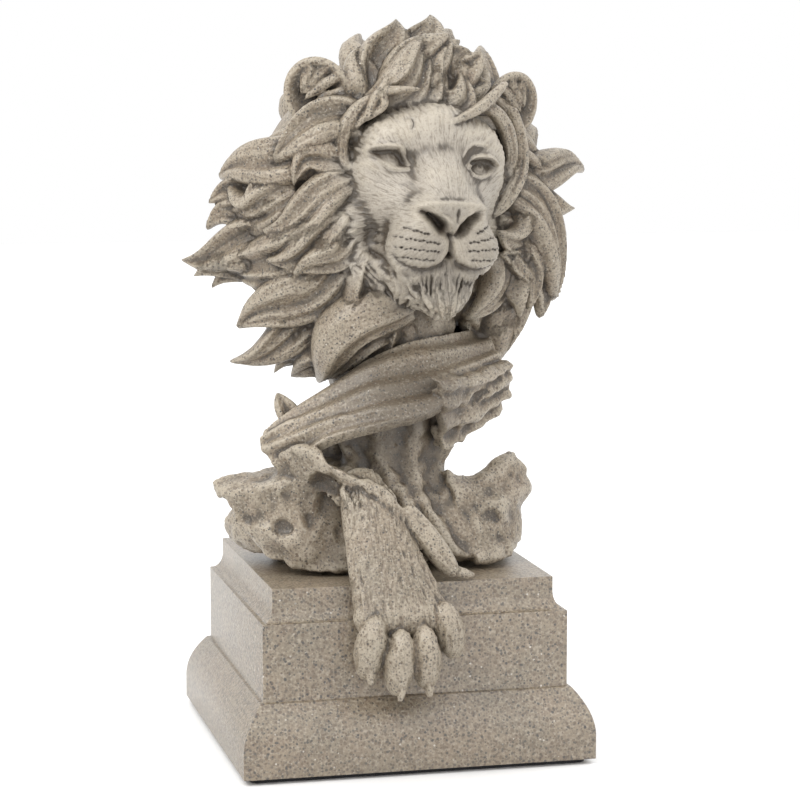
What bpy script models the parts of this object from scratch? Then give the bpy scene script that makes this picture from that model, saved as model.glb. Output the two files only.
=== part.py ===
"""Table-top lion bust on a stepped square plinth, cast in speckled sandstone resin.

Metres, +Z up. The origin is the centre of the underside, and the lion looks towards -Y.
"""

from math import acos, cos, degrees, pi, radians, sin, sqrt

import bmesh
import bpy
import numpy as np
from mathutils import Euler, Matrix, Vector, noise

# Driving sizes
PLINTH_WIDTH = 0.150
PLINTH_DEPTH = 0.150
PLINTH_HEIGHT = 0.0758
FOOT_FASCIA_HEIGHT = 0.0100
FOOT_OVOLO_HEIGHT = 0.0195
FOOT_OVOLO_REACH = 0.0100
CAP_FASCIA_HEIGHT = 0.0062
CAP_COVE_HEIGHT = 0.0076
CAP_COVE_REACH = 0.0050
PLINTH_EDGE_ROUND = 0.0008
PAD_THICKNESS = 0.0017
PAD_INSET = 0.0035
PAD_CORNER_RADIUS = 0.0030
FIGURE_HEIGHT = 0.234
TOUCH_GAP = 0.0003

# Fineness of the modelling
CLAY_VOXEL = 1.3
FIGURE_TRIANGLES = 9200
BLADE_GRID = (28, 18)
FURROW_RELIEF = 0.42
UPPER_SIDE = Vector((-0.5, 0.0, 1.0))
MOULDING_STEPS = 6

# Colours, from the photograph
STONE = (0.30, 0.255, 0.20, 1.0)
PLINTH_STONE = (0.28, 0.235, 0.18, 1.0)
FELT = (0.02, 0.02, 0.022, 1.0)

PLINTH_UNDERSIDE = PAD_THICKNESS + TOUCH_GAP
PLINTH_TOP = PLINTH_UNDERSIDE + PLINTH_HEIGHT
CAP_HALF_DEPTH = PLINTH_DEPTH / 2 - FOOT_OVOLO_REACH - CAP_COVE_REACH

# The figure is modelled in shares of its own height: FIGURE_UNITS from the plinth's top to the crest.
FIGURE_UNITS = 234.0
FIGURE_SCALE = FIGURE_HEIGHT / FIGURE_UNITS

# The head's own frame: the face looks along -Y, and the centre lies inside the skull.
HEAD_CENTRE = Vector((14.5, -11.7, 172.7))
HEAD_TURN = radians(4.5)
HEAD_TILT = radians(4.0)
HEAD_POSE = Matrix.Rotation(HEAD_TURN, 4, "Z") @ Matrix.Rotation(HEAD_TILT, 4, "Y")
HEAD = Matrix.Translation(HEAD_CENTRE) @ HEAD_POSE

# The mane lies on a dome behind the face.
MANE_CENTRE = Vector((-3.0, 30.0, -21.0))
MANE_RADII = Vector((60.0, 46.0, 62.0))
FACE_SINK = 0.26


def clear_scene():
    for item in list(bpy.data.objects):
        bpy.data.objects.remove(item)


def finish_material(name, colour, roughness):
    material = bpy.data.materials.new(name)
    material.use_nodes = True
    shader = material.node_tree.nodes["Principled BSDF"]
    shader.inputs["Base Color"].default_value = colour
    shader.inputs["Roughness"].default_value = roughness
    shader.inputs["Metallic"].default_value = 0.0
    return material


def add_object(name, mesh, material=None):
    item = bpy.data.objects.new(name, mesh)
    bpy.context.scene.collection.objects.link(item)
    if material:
        mesh.materials.append(material)
    return item


def mesh_of(name, bm):
    mesh = bpy.data.meshes.new(name)
    bm.to_mesh(mesh)
    bm.free()
    return mesh


def evaluated_mesh(item):
    """The item's mesh with its modifiers applied. The item itself is removed."""
    graph = bpy.context.evaluated_depsgraph_get()
    mesh = bpy.data.meshes.new_from_object(item.evaluated_get(graph))
    bpy.data.objects.remove(item)
    return mesh


def plinth_profile():
    """(inset from the widest outline, height) up the plinth's side."""
    foot = FOOT_FASCIA_HEIGHT
    rows = [(0.0, 0.0), (0.0, foot)]
    for step in range(1, MOULDING_STEPS + 1):
        share = step / MOULDING_STEPS
        rows.append((FOOT_OVOLO_REACH * (0.85 * share * share), foot + FOOT_OVOLO_HEIGHT * share))
    rows.append((FOOT_OVOLO_REACH, foot + FOOT_OVOLO_HEIGHT + 0.0003))
    cove_top = PLINTH_HEIGHT - CAP_FASCIA_HEIGHT
    cove_foot = cove_top - CAP_COVE_HEIGHT
    for step in range(MOULDING_STEPS + 1):
        turn = step / MOULDING_STEPS * pi / 2
        inset = FOOT_OVOLO_REACH + CAP_COVE_REACH * sin(turn)
        rows.append((inset, cove_foot + CAP_COVE_HEIGHT * (1 - cos(turn))))
    rows.append((FOOT_OVOLO_REACH + CAP_COVE_REACH, PLINTH_HEIGHT))
    return rows


def plinth_mesh(grow=0.0):
    """The stepped plinth: a square ring drawn up its profile and closed. A cutter grows all round."""
    bm = bmesh.new()
    half_width, half_depth = PLINTH_WIDTH / 2 + grow, PLINTH_DEPTH / 2 + grow
    bmesh.ops.create_circle(bm, segments=4, radius=sqrt(2), matrix=Matrix.Rotation(pi / 4, 4, "Z"))
    bmesh.ops.scale(bm, vec=(half_width, half_depth, 1), verts=bm.verts)
    bmesh.ops.translate(bm, vec=(0, 0, PLINTH_UNDERSIDE - grow), verts=bm.verts)
    edges = bm.edges[:]
    inset, level = 0.0, -grow
    for next_inset, height in plinth_profile()[1:]:
        height += grow if height > PLINTH_HEIGHT / 2 else 0.0
        drawn = bmesh.ops.extrude_edge_only(bm, edges=edges)["geom"]
        verts = [part for part in drawn if isinstance(part, bmesh.types.BMVert)]
        edges = [part for part in drawn if isinstance(part, bmesh.types.BMEdge)]
        narrower = [(half - next_inset) / (half - inset) for half in (half_width, half_depth)]
        bmesh.ops.scale(bm, vec=(*narrower, 1), verts=verts)
        bmesh.ops.translate(bm, vec=(0, 0, height - level), verts=verts)
        inset, level = next_inset, height
    bmesh.ops.holes_fill(bm, edges=bm.edges, sides=4)
    bmesh.ops.recalc_face_normals(bm, faces=bm.faces)
    return mesh_of("plinth", bm)


def make_plinth(material):
    plinth = add_object("plinth", plinth_mesh(), material)
    soften = plinth.modifiers.new("worn edges", "BEVEL")
    soften.width = PLINTH_EDGE_ROUND
    soften.segments = 2
    soften.limit_method = "ANGLE"
    soften.angle_limit = radians(35)
    return plinth


def make_pad(material):
    """The dark felt under the plinth, a little inside its edge."""
    bm = bmesh.new()
    bmesh.ops.create_cube(bm, size=1.0)
    size = (PLINTH_WIDTH - 2 * PAD_INSET, PLINTH_DEPTH - 2 * PAD_INSET, PAD_THICKNESS)
    bmesh.ops.scale(bm, vec=size, verts=bm.verts)
    bmesh.ops.translate(bm, vec=(0, 0, PAD_THICKNESS / 2), verts=bm.verts)
    corners = [
        edge for edge in bm.edges if abs(edge.verts[0].co.z - edge.verts[1].co.z) > PAD_THICKNESS / 2]
    bmesh.ops.bevel(
        bm, geom=corners, offset=PAD_CORNER_RADIUS, segments=4, profile=0.5, affect="EDGES", material=-1)
    return add_object("base_pad", mesh_of("base_pad", bm), material)


# Clay: everything below is modelled in figure units and scaled once, at the end.

def turned(turn):
    return Euler([radians(angle) for angle in turn]).to_matrix().to_4x4()


def add_lump(bm, centre, radii, turn=(0, 0, 0), fineness=3):
    """A ball of clay, squeezed to its radii and turned by degrees."""
    place = Matrix.Translation(centre) @ turned(turn) @ Matrix.Diagonal((*radii, 1))
    bmesh.ops.create_icosphere(bm, subdivisions=fineness, radius=1, matrix=place)


def both_sides(rows):
    """Each row twice, the second mirrored across the middle."""
    pairs = []
    for centre, radii, turn in rows:
        pairs.append((centre, radii, turn))
        pairs.append(((-centre[0], centre[1], centre[2]), radii, (turn[0], -turn[1], -turn[2])))
    return pairs


def distances(points, lumps, melt):
    """The signed distance from each point to the lumps, melted into one another."""
    field = np.full(len(points), 1e3)
    for centre, radii, turn in lumps:
        local = (points - np.array(centre)) @ np.array(turned(turn).to_3x3())
        near = np.linalg.norm(local / radii, axis=1)
        steep = np.linalg.norm(local / np.square(radii), axis=1) + 1e-9
        one = near * (near - 1) / steep
        share = np.clip(0.5 + 0.5 * (field - one) / melt, 0, 1)
        field = field * (1 - share) + one * share - melt * share * (1 - share)
    return field


def hollowed(points, lumps, hollows, melt, rim):
    field = distances(points, lumps, melt)
    for hollow in hollows:
        cut = -distances(points, [hollow], melt)
        share = np.clip(0.5 - 0.5 * (field - cut) / rim, 0, 1)
        field = field * (1 - share) + cut * share + rim * share * (1 - share)
    return field


def melted(lumps, hollows, melt, rim, voxel, rounds=5):
    """One skin over lumps that flow into one another, with soft hollows pressed into it."""
    bm = bmesh.new()
    for centre, radii, turn in lumps:
        add_lump(bm, centre, radii, turn, 4)
    mesh = fuse(bm, voxel, 2)
    points = vertex_array(mesh)
    probe = 0.3
    for _ in range(rounds):
        field = hollowed(points, lumps, hollows, melt, rim)
        slope = np.stack([
            hollowed(points + probe * way, lumps, hollows, melt, rim) - field for way in np.eye(3)
        ], axis=1) / probe
        slope /= np.maximum(np.sum(slope * slope, axis=1, keepdims=True), 0.2)
        points = points - np.clip(field, -2.5, 2.5)[:, None] * slope
    place(mesh, points)
    return mesh


def place(mesh, points):
    mesh.vertices.foreach_set("co", points.astype(np.float32).ravel())
    mesh.update()


def vertex_array(mesh):
    points = np.empty(len(mesh.vertices) * 3, dtype=np.float32)
    mesh.vertices.foreach_get("co", points)
    return points.reshape(-1, 3).astype(float)


def bezier(points, share):
    """A point on the smooth curve whose handles are the given points."""
    row = [Vector(point) for point in points]
    while len(row) > 1:
        row = [a.lerp(b, share) for a, b in zip(row, row[1:])]
    return row[0]


def leaf_width(share, root, widest, blunt):
    """How wide a leaf is along its length, from its root's share to its tip."""
    if share < widest:
        return root + (1 - root) * sin(pi / 2 * share / widest)
    fall = (share - widest) / (1 - widest)
    return (1 - fall**2) ** blunt


def blade(bm, path, outward, half_width, half_thick, scoop=0.55, ribs=2, root=0.6, widest=0.45, blunt=0.85,
          roll=0.0, phase=0.0, keel=None, lean=0.0):
    """A leaf of clay along a path: a scooped and folded face and a pointed tip.

    path(share) and outward(share) give its centre line and the way its face looks, and
    keel(share) how deep its back reaches. The scoop lies off the middle by lean, on the lower
    side. Each fold rises slowly to a sharp crest and drops steeply below it.
    """
    around, along = BLADE_GRID
    low = -1 if (path(0.52) - path(0.48)).cross(outward(0.5)).dot(UPPER_SIDE) > 0 else 1
    sheet = bmesh.ops.create_grid(bm, x_segments=around, y_segments=along, size=1)["verts"]
    frames = {}
    for vert in sheet:
        share = (vert.co.y + 1) / 2
        key = round(share, 4)
        if key not in frames:
            tangent = (path(min(share + 0.02, 1)) - path(max(share - 0.02, 0))).normalized()
            side = tangent.cross(outward(share)).normalized()
            face = side.cross(tangent)
            turn = roll * share
            turned_side = side * cos(turn) + face * sin(turn)
            frames[key] = (path(share), turned_side, face * cos(turn) - side * sin(turn))
        centre, side, face = frames[key]
        swell = leaf_width(share, root, widest, blunt) if 0.001 < share < 0.999 else 0.0
        turn = vert.co.x * pi
        across, lift = cos(turn), sin(turn)
        thickness = half_thick * (0.25 + 0.75 * swell) if swell else 0.0
        if lift > 0:
            dish = scoop * max(0.0, 1 - ((low * across - lean) / 0.85) ** 2) * min(1, 2.2 * share)
            height = (1 - across**4) ** 0.5 * (1 - dish)
            fold = (ribs / 2 * low * across + phase + 0.35 * share) % 1
            rise = (fold / 0.78) ** 1.5 if fold < 0.78 else 0.5 + 0.5 * cos(pi * (fold - 0.78) / 0.22)
            height += FURROW_RELIEF * 3 / (ribs + 1) * (rise - 0.4) * (1 - across**4)
        else:
            height = lift
            if keel and swell:
                thickness = max(thickness, keel(share))
        vert.co = centre + side * (across * half_width * swell) + face * (height * thickness)
    bmesh.ops.remove_doubles(bm, verts=sheet, dist=0.02)


def way_of(clock, opening):
    """A way from the dome's centre: clock from the crown to the viewer's right, opening from the face."""
    clock, opening = radians(clock), radians(opening)
    return Vector((sin(opening) * sin(clock), -cos(opening), sin(opening) * cos(clock)))


def on_dome(way, lift):
    """A point of the mane's dome and its outward way, in the head's frame."""
    normal = Vector([a / r for a, r in zip(way, MANE_RADII)]).normalized()
    return MANE_CENTRE + Vector([a * r for a, r in zip(way, MANE_RADII)]) + normal * lift, normal


def lock(bm, start, end, lift, width, bow=0.0, roll=0.0, swell=3.0, order=0):
    """A lock of the mane from one way to another. It bows sideways and lifts off towards its tip."""
    sideways = start.cross(end).normalized() * radians(bow)
    sway = start.cross(end).normalized() * radians(1.8 if order % 2 else -1.8)

    def height(share):
        return -3.0 + (lift + 3.0) * share**1.5 + swell * sin(pi * share) ** 0.7

    def spot(share):
        way = start.lerp(end, share) + sideways * sin(pi * share) + sway * sin(2 * pi * share)
        return on_dome(way.normalized(), height(share))

    def path(share):
        return HEAD @ spot(share)[0]

    def outward(share):
        return HEAD.to_3x3() @ spot(share)[1]

    def keel(share):
        return (height(share) + 4) * min(max((0.85 - share) / 0.35, 0), 1)

    blade(bm, path, outward, width / 2, width * 0.34, scoop=0.55, ribs=(2 + order % 3) * width / 24,
          root=0.7, widest=0.4, blunt=1.2, roll=roll, phase=order * 1.7, keel=keel, lean=0.35)


def companion(bm, row, order):
    """A smaller lock that leaves the lower side of the given one and ends before it."""
    clock, opening, end_clock, end_opening, lift, width, bow, roll, swell = row
    start, end = way_of(clock, opening), way_of(end_clock, end_opening)
    across = start.cross(end).normalized()
    if across.dot(UPPER_SIDE) > 0:
        across = -across
    side = across * radians(width * 0.42)
    lock(bm, (start.lerp(end, 0.25) + side).normalized(), (start.lerp(end, 0.9) + 1.3 * side).normalized(),
         0.75 * lift, 0.62 * width, bow, -roll, swell, order)


# The locks round the face: start clock and opening, end clock and opening, lift, width, bow, roll, swell
FRONT_LOCKS = [
    (326, 40, 285, 64, 9, 22, -6, -0.5, 5),
    (303, 50, 275, 97, 15, 22, 3, -0.3, 4),
    (290, 34, 259, 67, 10, 19, 4, -0.4, 4),
    (268, 34, 244, 98, 12, 27, 5, -0.4, 4),
    (266, 30, 249, 66, 13, 16, 3, 0.3, 4),
    (250, 29, 240, 56, 12, 14, 2, 0.3, 4),
    (222, 26, 202, 88, 13, 22, 6, 0.4, 6),
    (232, 44, 230, 86, 26, 25, 0, -0.4, 3),
    (216, 56, 224, 91, 37, 20, 0, -0.3, 3),
    (205, 60, 212, 91, 24, 20, 0, 0.3, 3),
    (182, 44, 204, 80, 20, 40, -6, 0.4, 6),
    (198, 50, 208, 88, 24, 22, 0, -0.3, 5),
    (188, 38, 196, 82, 19, 22, 4, -0.4, 7),
    (170, 50, 180, 80, 9, 20, 0, -0.4, 6),
    (328, 43, 2, 69, 18, 31, -8, -0.4, 5),
    (352, 42, 10, 68, 21, 26, 4, -0.3, 6),
    (8, 43, 19, 65, 18, 20, 4, -0.3, 6),
    (20, 45, 22, 67, 20, 17, 4, 0.3, 6),
    (34, 44, 86, 72, 8, 18, 8, 0.5, 4),
    (74, 48, 117, 78, 24, 27, 4, 0.3, 4),
    (84, 70, 100, 31, 7, 19, 6, 0.2, 4),
    (93, 40, 116, 62, 9, 13, 6, -0.4, 4),
    (112, 66, 157, 66, 9, 25, 10, 0.4, 5),
    (108, 42, 150, 50, 8, 17, 8, -0.4, 4),
    (118, 72, 154, 72, 22, 25, 6, 0.4, 5),
    (108, 74, 140, 76, 21, 22, 4, -0.3, 5),
    (96, 60, 124, 76, 23, 22, 2, -0.3, 4),
]
# The locks that show behind them
BACK_LOCKS = [
    (281, 72, 267, 95, 20, 14, 0, 0.2, 2),
    (294, 60, 289, 86, 6, 16, 0, -0.3, 2),
    (268, 72, 259, 98, 21, 16, -2, 0.2, 2),
    (256, 70, 252, 101, 34, 19, 0, -0.3, 3),
    (246, 72, 247, 97, 31, 15, 0, 0.3, 3),
    (38, 56, 29, 94, 20, 16, 0, 0.3, 3),
    (340, 56, 355, 80, 19, 22, 0, -0.3, 5),
    (328, 50, 342, 74, 12, 17, 0, -0.3, 4),
    (356, 58, 7, 83, 22, 22, 0, 0.3, 5),
    (14, 60, 16, 86, 18, 18, 0, -0.3, 5),
    (24, 50, 25, 72, 15, 15, 0, 0.3, 4),
    (68, 58, 78, 91, 33, 19, 0, 0.3, 3),
    (82, 58, 93, 87, 18, 18, 0, -0.3, 3),
]


# The locks that cover the rest of the dome
FILL_LOCKS = 64
BEARD_TUFTS = 13
FILL_FROM, FILL_TO = 52, 168
GOLDEN_ANGLE = 137.508


def mane(bm):
    """The dome, the locks that show in front, and a spiral of locks that covers the sides and the back."""
    bm.from_mesh(dome_mesh())
    for order, row in enumerate(FRONT_LOCKS + BACK_LOCKS):
        lock(bm, way_of(*row[0:2]), way_of(*row[2:4]), *row[4:], order=order)
        if row[5] > 18:
            companion(bm, row, order + 1)
    near, far = cos(radians(FILL_FROM)), cos(radians(FILL_TO))
    for index in range(FILL_LOCKS):
        opening = degrees(acos(near + (far - near) * (index + 0.5) / FILL_LOCKS))
        clock = index * GOLDEN_ANGLE % 360
        if (22 < clock < 72 and opening < 90) or (284 < clock < 336 and opening < 104):
            continue
        start = way_of(clock, opening)
        away = (way_of(clock, opening + 1) - start).normalized()
        down = (Vector((0, 0, -1)) + start * start.z).normalized()
        keep = 1 - 0.8 * min(max((opening - 70) / 60, 0), 1)
        end = (start + (away * keep + down * (1 - keep)).normalized() * 0.62).normalized()
        lift, bow, roll = 6 + 3 * (index % 3), 8 * ((index % 3) - 1), 0.35 * (1 - 2 * (index % 2))
        lock(bm, start, end, lift, 25, bow, roll, 3.0, index)
    beard(bm)
    for points, width, thick in ROLLS:
        row = [HEAD @ Vector(point) for point in points]
        blade(bm, lambda share: through(row, share), lambda share: HEAD.to_3x3() @ Vector((0, -1, 0.2)),
              width / 2, thick / 2, scoop=0.2, ribs=3, root=0.5, widest=0.5, blunt=0.6)


# Rolled edges of the mane round the face, in the head's frame: points from root to tip, width, thickness
ROLLS = [
    ([(-24, -14, 27), (-32, -10, 21), (-37, -8, 12), (-38, -8, 2), (-34, -10, -7)], 6, 8),
    ([(-33, -9, 12), (-29, -14, 19), (-26, -17, 27), (-18, -19, 29), (-8, -20, 30)], 4, 6),
    ([(-22, -15, 34), (-25, -17, 28), (-24, -18, 22), (-30, -13, 15)], 3.6, 6),
    ([(33, -8, 35), (25, -15, 29), (16, -22, 23), (3, -28, 17)], 5, 7),
    ([(14, -20, 24), (25, -16, 23), (34, -10, 15), (38.5, -6, 4), (37, -6, -8)], 6.5, 8),
    ([(39, 0, 26), (43, -2, 12), (43, -4, -2), (37, -8, -14), (31, -10, -22)], 8, 9),
]


def beard(bm):
    """Tufts that hang from the chin and close in to its point."""
    for index in range(BEARD_TUFTS):
        aside = -1 + 2 * (index + 0.5) / BEARD_TUFTS
        wave = sin(index * 2.1)
        root = Vector((16 * aside - 1, -40 + 7 * aside**2, -46.5 + 1.5 * wave))
        middle = Vector((11 * aside + 1, -41 + 6 * aside**2, -54 + wave))
        tip = Vector((7.5 * aside + 4 + wave, -37 + 3 * aside**2, -64 + 6 * aside**2 + 1.5 * wave))
        row = [HEAD @ point for point in (root, middle, tip)]
        outward = HEAD.to_3x3() @ Vector((0.6 * aside, -1, -0.3))
        spine_blade(bm, row, 4.2, 4.2, outward, scoop=0.0, ribs=2, blunt=1.0)


def dome_mesh():
    """The mane's dome, pressed in where the face lies in front of it."""
    bm = bmesh.new()
    bmesh.ops.create_icosphere(bm, subdivisions=5, radius=1)
    for vert in bm.verts:
        vert.co.y += FACE_SINK * min(max((-vert.co.y - 0.66) / 0.2, 0), 1)
    bmesh.ops.scale(bm, vec=MANE_RADII, verts=bm.verts)
    bmesh.ops.translate(bm, vec=MANE_CENTRE, verts=bm.verts)
    bmesh.ops.transform(bm, matrix=HEAD, verts=bm.verts)
    return mesh_of("dome", bm)


# (centre, radii, turn in degrees) in the head's frame
HEAD_CLAY = [
    ((0, 0, 3), (34, 27, 24), (0, 0, 0)),
    ((0, -13, 12), (21, 12, 11), (0, 0, 0)),
    ((0, -20, 11), (9, 9, 12), (0, 0, 0)),
    ((0, -20, 2), (13, 10, 11), (0, 0, 0)),
    ((0, -29, -5), (11, 12, 9), (35, 0, 0)),
    ((0, -36, -12), (11, 11, 7.5), (35, 0, 0)),
    ((0, -41, -19), (11, 8, 5), (0, 0, 0)),
    ((0, -42, -26), (6, 6.5, 7), (0, 0, 0)),
    ((0, -26, -36), (18, 18, 12), (0, 0, 0)),
    ((-2, -32.5, -47), (15, 9.5, 6.5), (0, 0, 0)),
    ((0.5, -31.5, -53), (11, 8.5, 6.5), (0, 0, 0)),
    ((4, -29, -59.5), (6.5, 6, 6), (0, 0, 0)),
    ((-1, -18, -50), (17, 14, 12), (0, 0, 0)),
    ((-36, 4, -8), (9, 13, 18), (0, 0, 0)),
    ((-31, -1, -27), (10, 14, 14), (0, 0, 0)),
    ((-23, -3, -45), (12, 13, 13), (0, 0, 0)),
    ((34, 4, -8), (8, 12, 17), (0, 0, 0)),
    ((27, 0, -30), (9, 13, 14), (0, 0, 0)),
]
HEAD_CLAY_PAIRS = both_sides([
    ((15, -17, 11), (12, 9, 6), (0, 0, 10)),
    ((20, -17, 2), (11, 8.5, 9), (0, 0, -20)),
    ((19, -9, -7), (14, 16, 12), (0, 0, 0)),
    ((15, -9, -18), (14, 17, 14), (0, 0, 0)),
    ((12, -21, -15), (12, 13, 13), (0, 0, 0)),
    ((8.5, -31, -23), (10.5, 13, 11), (0, 0, 0)),
    ((10, -13, -38), (12, 16, 13), (0, 0, 0)),
    ((11.5, -36, -35), (12.5, 13.5, 11.5), (0, 0, 0)),
    ((9.5, -42.5, -19), (4.5, 5, 4), (0, 0, 0)),
])
HEAD_HOLLOWS = [((1, -53, -43.5), (7, 9, 2.4), (0, 0, 0))]

# Lines pressed into the face, or raised where the depth is negative: (across, up) points, width, depth
LEFT_EYE = [
    ([(-27.5, 2.4), (-23, 2.8), (-18, 2.0), (-16.5, 0.0)], 2.8, 3.9),
    ([(-22, 1.0), (-20.5, 0.8)], 2.6, -1.9),
    ([(-31.2, 3.2), (-28.9, 4.9), (-23.3, 6.0), (-17.2, 5.8), (-14.6, -0.7)], 0.95, -2.2),
    ([(-29.7, 1.8), (-26.9, 0.4), (-23.2, -2.6), (-19.9, -3.8), (-15.0, -2.8)], 0.85, -1.7),
    ([(-13.6, 3.5), (-12.6, -1), (-13.2, -6)], 2.2, 1.0),
]
RIGHT_EYE = [
    ([(12.8, 0.4), (16.5, 0.8), (21.5, 0.8)], 2.4, 2.7),
    ([(16.4, -0.4), (17.6, -0.4)], 2.5, -1.3),
    ([(9.8, -0.8), (10.6, 2.0), (14.3, 4.6), (19.0, 5.2), (23.6, 3.8), (25.0, 1.0)], 0.95, -2.2),
    ([(10.2, 0.4), (12.6, -4.1), (17.2, -5.7), (23, -3.8)], 0.85, -1.7),
    ([(8.8, 2.5), (8.2, -2), (9.2, -7)], 2.0, 0.9),
]
NOSE_LINES = [
    ([(-14.2, -19.4), (-9.7, -22.4), (-4.6, -25.9), (-1.2, -29.0)], 1.8, 5.2),
    ([(13.6, -18.6), (9.6, -22.1), (5.8, -25.5), (2.6, -29.0)], 1.8, 5.2),
    ([(-15.6, -18.6), (-10.7, -16.5), (-2.8, -16.0), (6.5, -15.8), (14.6, -17.2)], 1.2, -1.5),
    ([(0.1, -29.7), (0.4, -33), (0.6, -38.0)], 1.2, 3.2),
    ([(0.3, -38), (-3.2, -42.6), (-11.1, -45.0), (-18.6, -43.2), (-24, -38.8)], 1.4, 2.8),
    ([(0.6, -38), (4.2, -41.6), (10.7, -44.0), (17.9, -42.6), (25, -38.6)], 1.4, 2.8),
    ([(0, 24), (0, 8)], 4.0, 1.0),
    ([(-11.5, -20.4), (-6.6, -23.2), (-4.4, -26.6)], 2.0, 3.2),
    ([(11.0, -19.8), (6.8, -22.8), (5.0, -26.2)], 2.0, 3.2),
    ([(-5, -20.6), (5.5, -20.2)], 1.5, 0.8),
]


def line_distance(across, up, line):
    """The distance of each point from a broken line, seen from the front."""
    nearest = np.full(len(across), 1e3)
    for (x0, z0), (x1, z1) in zip(line, line[1:]):
        run, rise = x1 - x0, z1 - z0
        share = np.clip(((across - x0) * run + (up - z0) * rise) / (run * run + rise * rise), 0, 1)
        nearest = np.minimum(nearest, np.hypot(across - x0 - share * run, up - z0 - share * rise))
    return nearest


def rounded(line, rounds=2):
    """A broken line with its corners cut, twice over."""
    for _ in range(rounds):
        cut = [line[0]]
        for (x0, z0), (x1, z1) in zip(line, line[1:]):
            cut += [(x0 + share * (x1 - x0), z0 + share * (z1 - z0)) for share in (0.25, 0.75)]
        line = cut + [line[-1]]
    return line


def press_lines(mesh, lines):
    """Presses lines into the front of a mesh that stands in the head's frame."""
    points = vertex_array(mesh)
    normals = np.empty(points.size, dtype=np.float32)
    mesh.vertices.foreach_get("normal", normals)
    normals = normals.reshape(-1, 3)
    front = np.clip(-normals[:, 1] * 3, 0, 1) * (points[:, 1] < 5)
    move = np.zeros(len(points))
    for line, width, depth in lines:
        move += depth * np.exp(-(line_distance(points[:, 0], points[:, 2], rounded(line)) / width) ** 2)
    way = normals * 0.4 + np.array((0, -0.6, 0))
    place(mesh, points - way * (front * move)[:, None])


def melted_face(voxel):
    mesh = melted(HEAD_CLAY + HEAD_CLAY_PAIRS, HEAD_HOLLOWS, 6.0, 3.0, voxel)
    mesh.transform(HEAD)
    return mesh


def face_mesh(voxel):
    mesh = melted_face(voxel)
    mesh.transform(HEAD.inverted())
    press_lines(mesh, LEFT_EYE + RIGHT_EYE + NOSE_LINES)
    mesh.transform(HEAD)
    return mesh


# (centre, radius, swing, lean) of each ear
EARS = [((-45.5, 6, 25), 14.5, -25, -28), ((43, 8, 26), 13.5, 20, 30)]
EAR_TUFTS = 6


def ears(bm):
    """Round cups: a thick bowl with its mouth forwards and outwards."""
    for centre, radius, swing, lean in EARS:
        cup = bmesh.new()
        bmesh.ops.create_icosphere(cup, subdivisions=4, radius=1)
        for vert in cup.verts:
            front = -vert.co.y
            if front > 0:
                away = sqrt(vert.co.x**2 + vert.co.z**2)
                vert.co.y = 0.7 * (1 - min(away / 0.84, 1) ** 3) - 0.28 * front
        bmesh.ops.scale(cup, vec=(radius, radius * 0.62, radius * 1.12), verts=cup.verts)
        place = Matrix.Translation(centre) @ Matrix.Rotation(radians(swing), 4, "Z")
        place = HEAD @ place @ Matrix.Rotation(radians(lean), 4, "Y")
        bmesh.ops.transform(cup, matrix=place, verts=cup.verts)
        bm.from_mesh(mesh_of("ear", cup))
        inner = -1 if centre[0] > 0 else 1
        for index in range(EAR_TUFTS):
            fan = radians(-75 + 150 * index / (EAR_TUFTS - 1))
            root = Vector((0.78 * inner * cos(fan), 0.06, 0.85 * sin(fan)))
            tip = Vector((-0.45 * inner, 0.0, 0.35 * sin(fan) - 0.15 + 0.1 * sin(5 * index)))
            bend = root.lerp(tip, 0.5) + Vector((0, 0.1, 0.12))
            row = [place @ (point * radius) for point in (root, bend, tip)]
            spine_blade(bm, row, 4.6, 3.4, place.to_3x3() @ Vector((0, -1, 0)), scoop=0.0, ribs=3, root=0.8)


def through(points, share):
    """A point on the smooth curve that passes through the given points."""
    row = [Vector(point) for point in points]
    row = [2 * row[0] - row[1]] + row + [2 * row[-1] - row[-2]]
    index = min(int(share * (len(points) - 1)), len(points) - 2)
    t = share * (len(points) - 1) - index
    a, b, c, d = row[index:index + 4]
    return 0.5 * (2 * b + (c - a) * t + (2 * a - 5 * b + 4 * c - d) * t**2 + (3 * b - a - 3 * c + d) * t**3)


def sheet(bm, rows, thick, ribs=0, depth=0.0, slant=0.0):
    """A thick skin drawn through rows of points. Ribs run along the rows."""
    skin = bmesh.new()
    along, across = 36, 20
    for vert in bmesh.ops.create_grid(skin, x_segments=along, y_segments=across, size=1)["verts"]:
        share, down = (vert.co.x + 1) / 2, (vert.co.y + 1) / 2
        vert.co = through([through(row, share) for row in rows], down)
    skin.normal_update()
    if ribs:
        skin.verts.ensure_lookup_table()
        ways = [vert.normal.copy() for vert in skin.verts]
        for index, vert in enumerate(skin.verts):
            share, down = index % along / (along - 1), index // along / (across - 1)
            vert.co += ways[index] * (depth * cos(2 * pi * ribs * (down + slant * share)))
    bmesh.ops.solidify(skin, geom=skin.faces[:], thickness=thick)
    bm.from_mesh(mesh_of("sheet", skin))


def spine_blade(bm, points, width, thick, outward, **shape):
    """A straight-faced leaf along the smooth curve that the points pull."""
    blade(bm, lambda share: bezier(points, share), lambda share: Vector(outward),
          width / 2, thick / 2, **shape)


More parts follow.
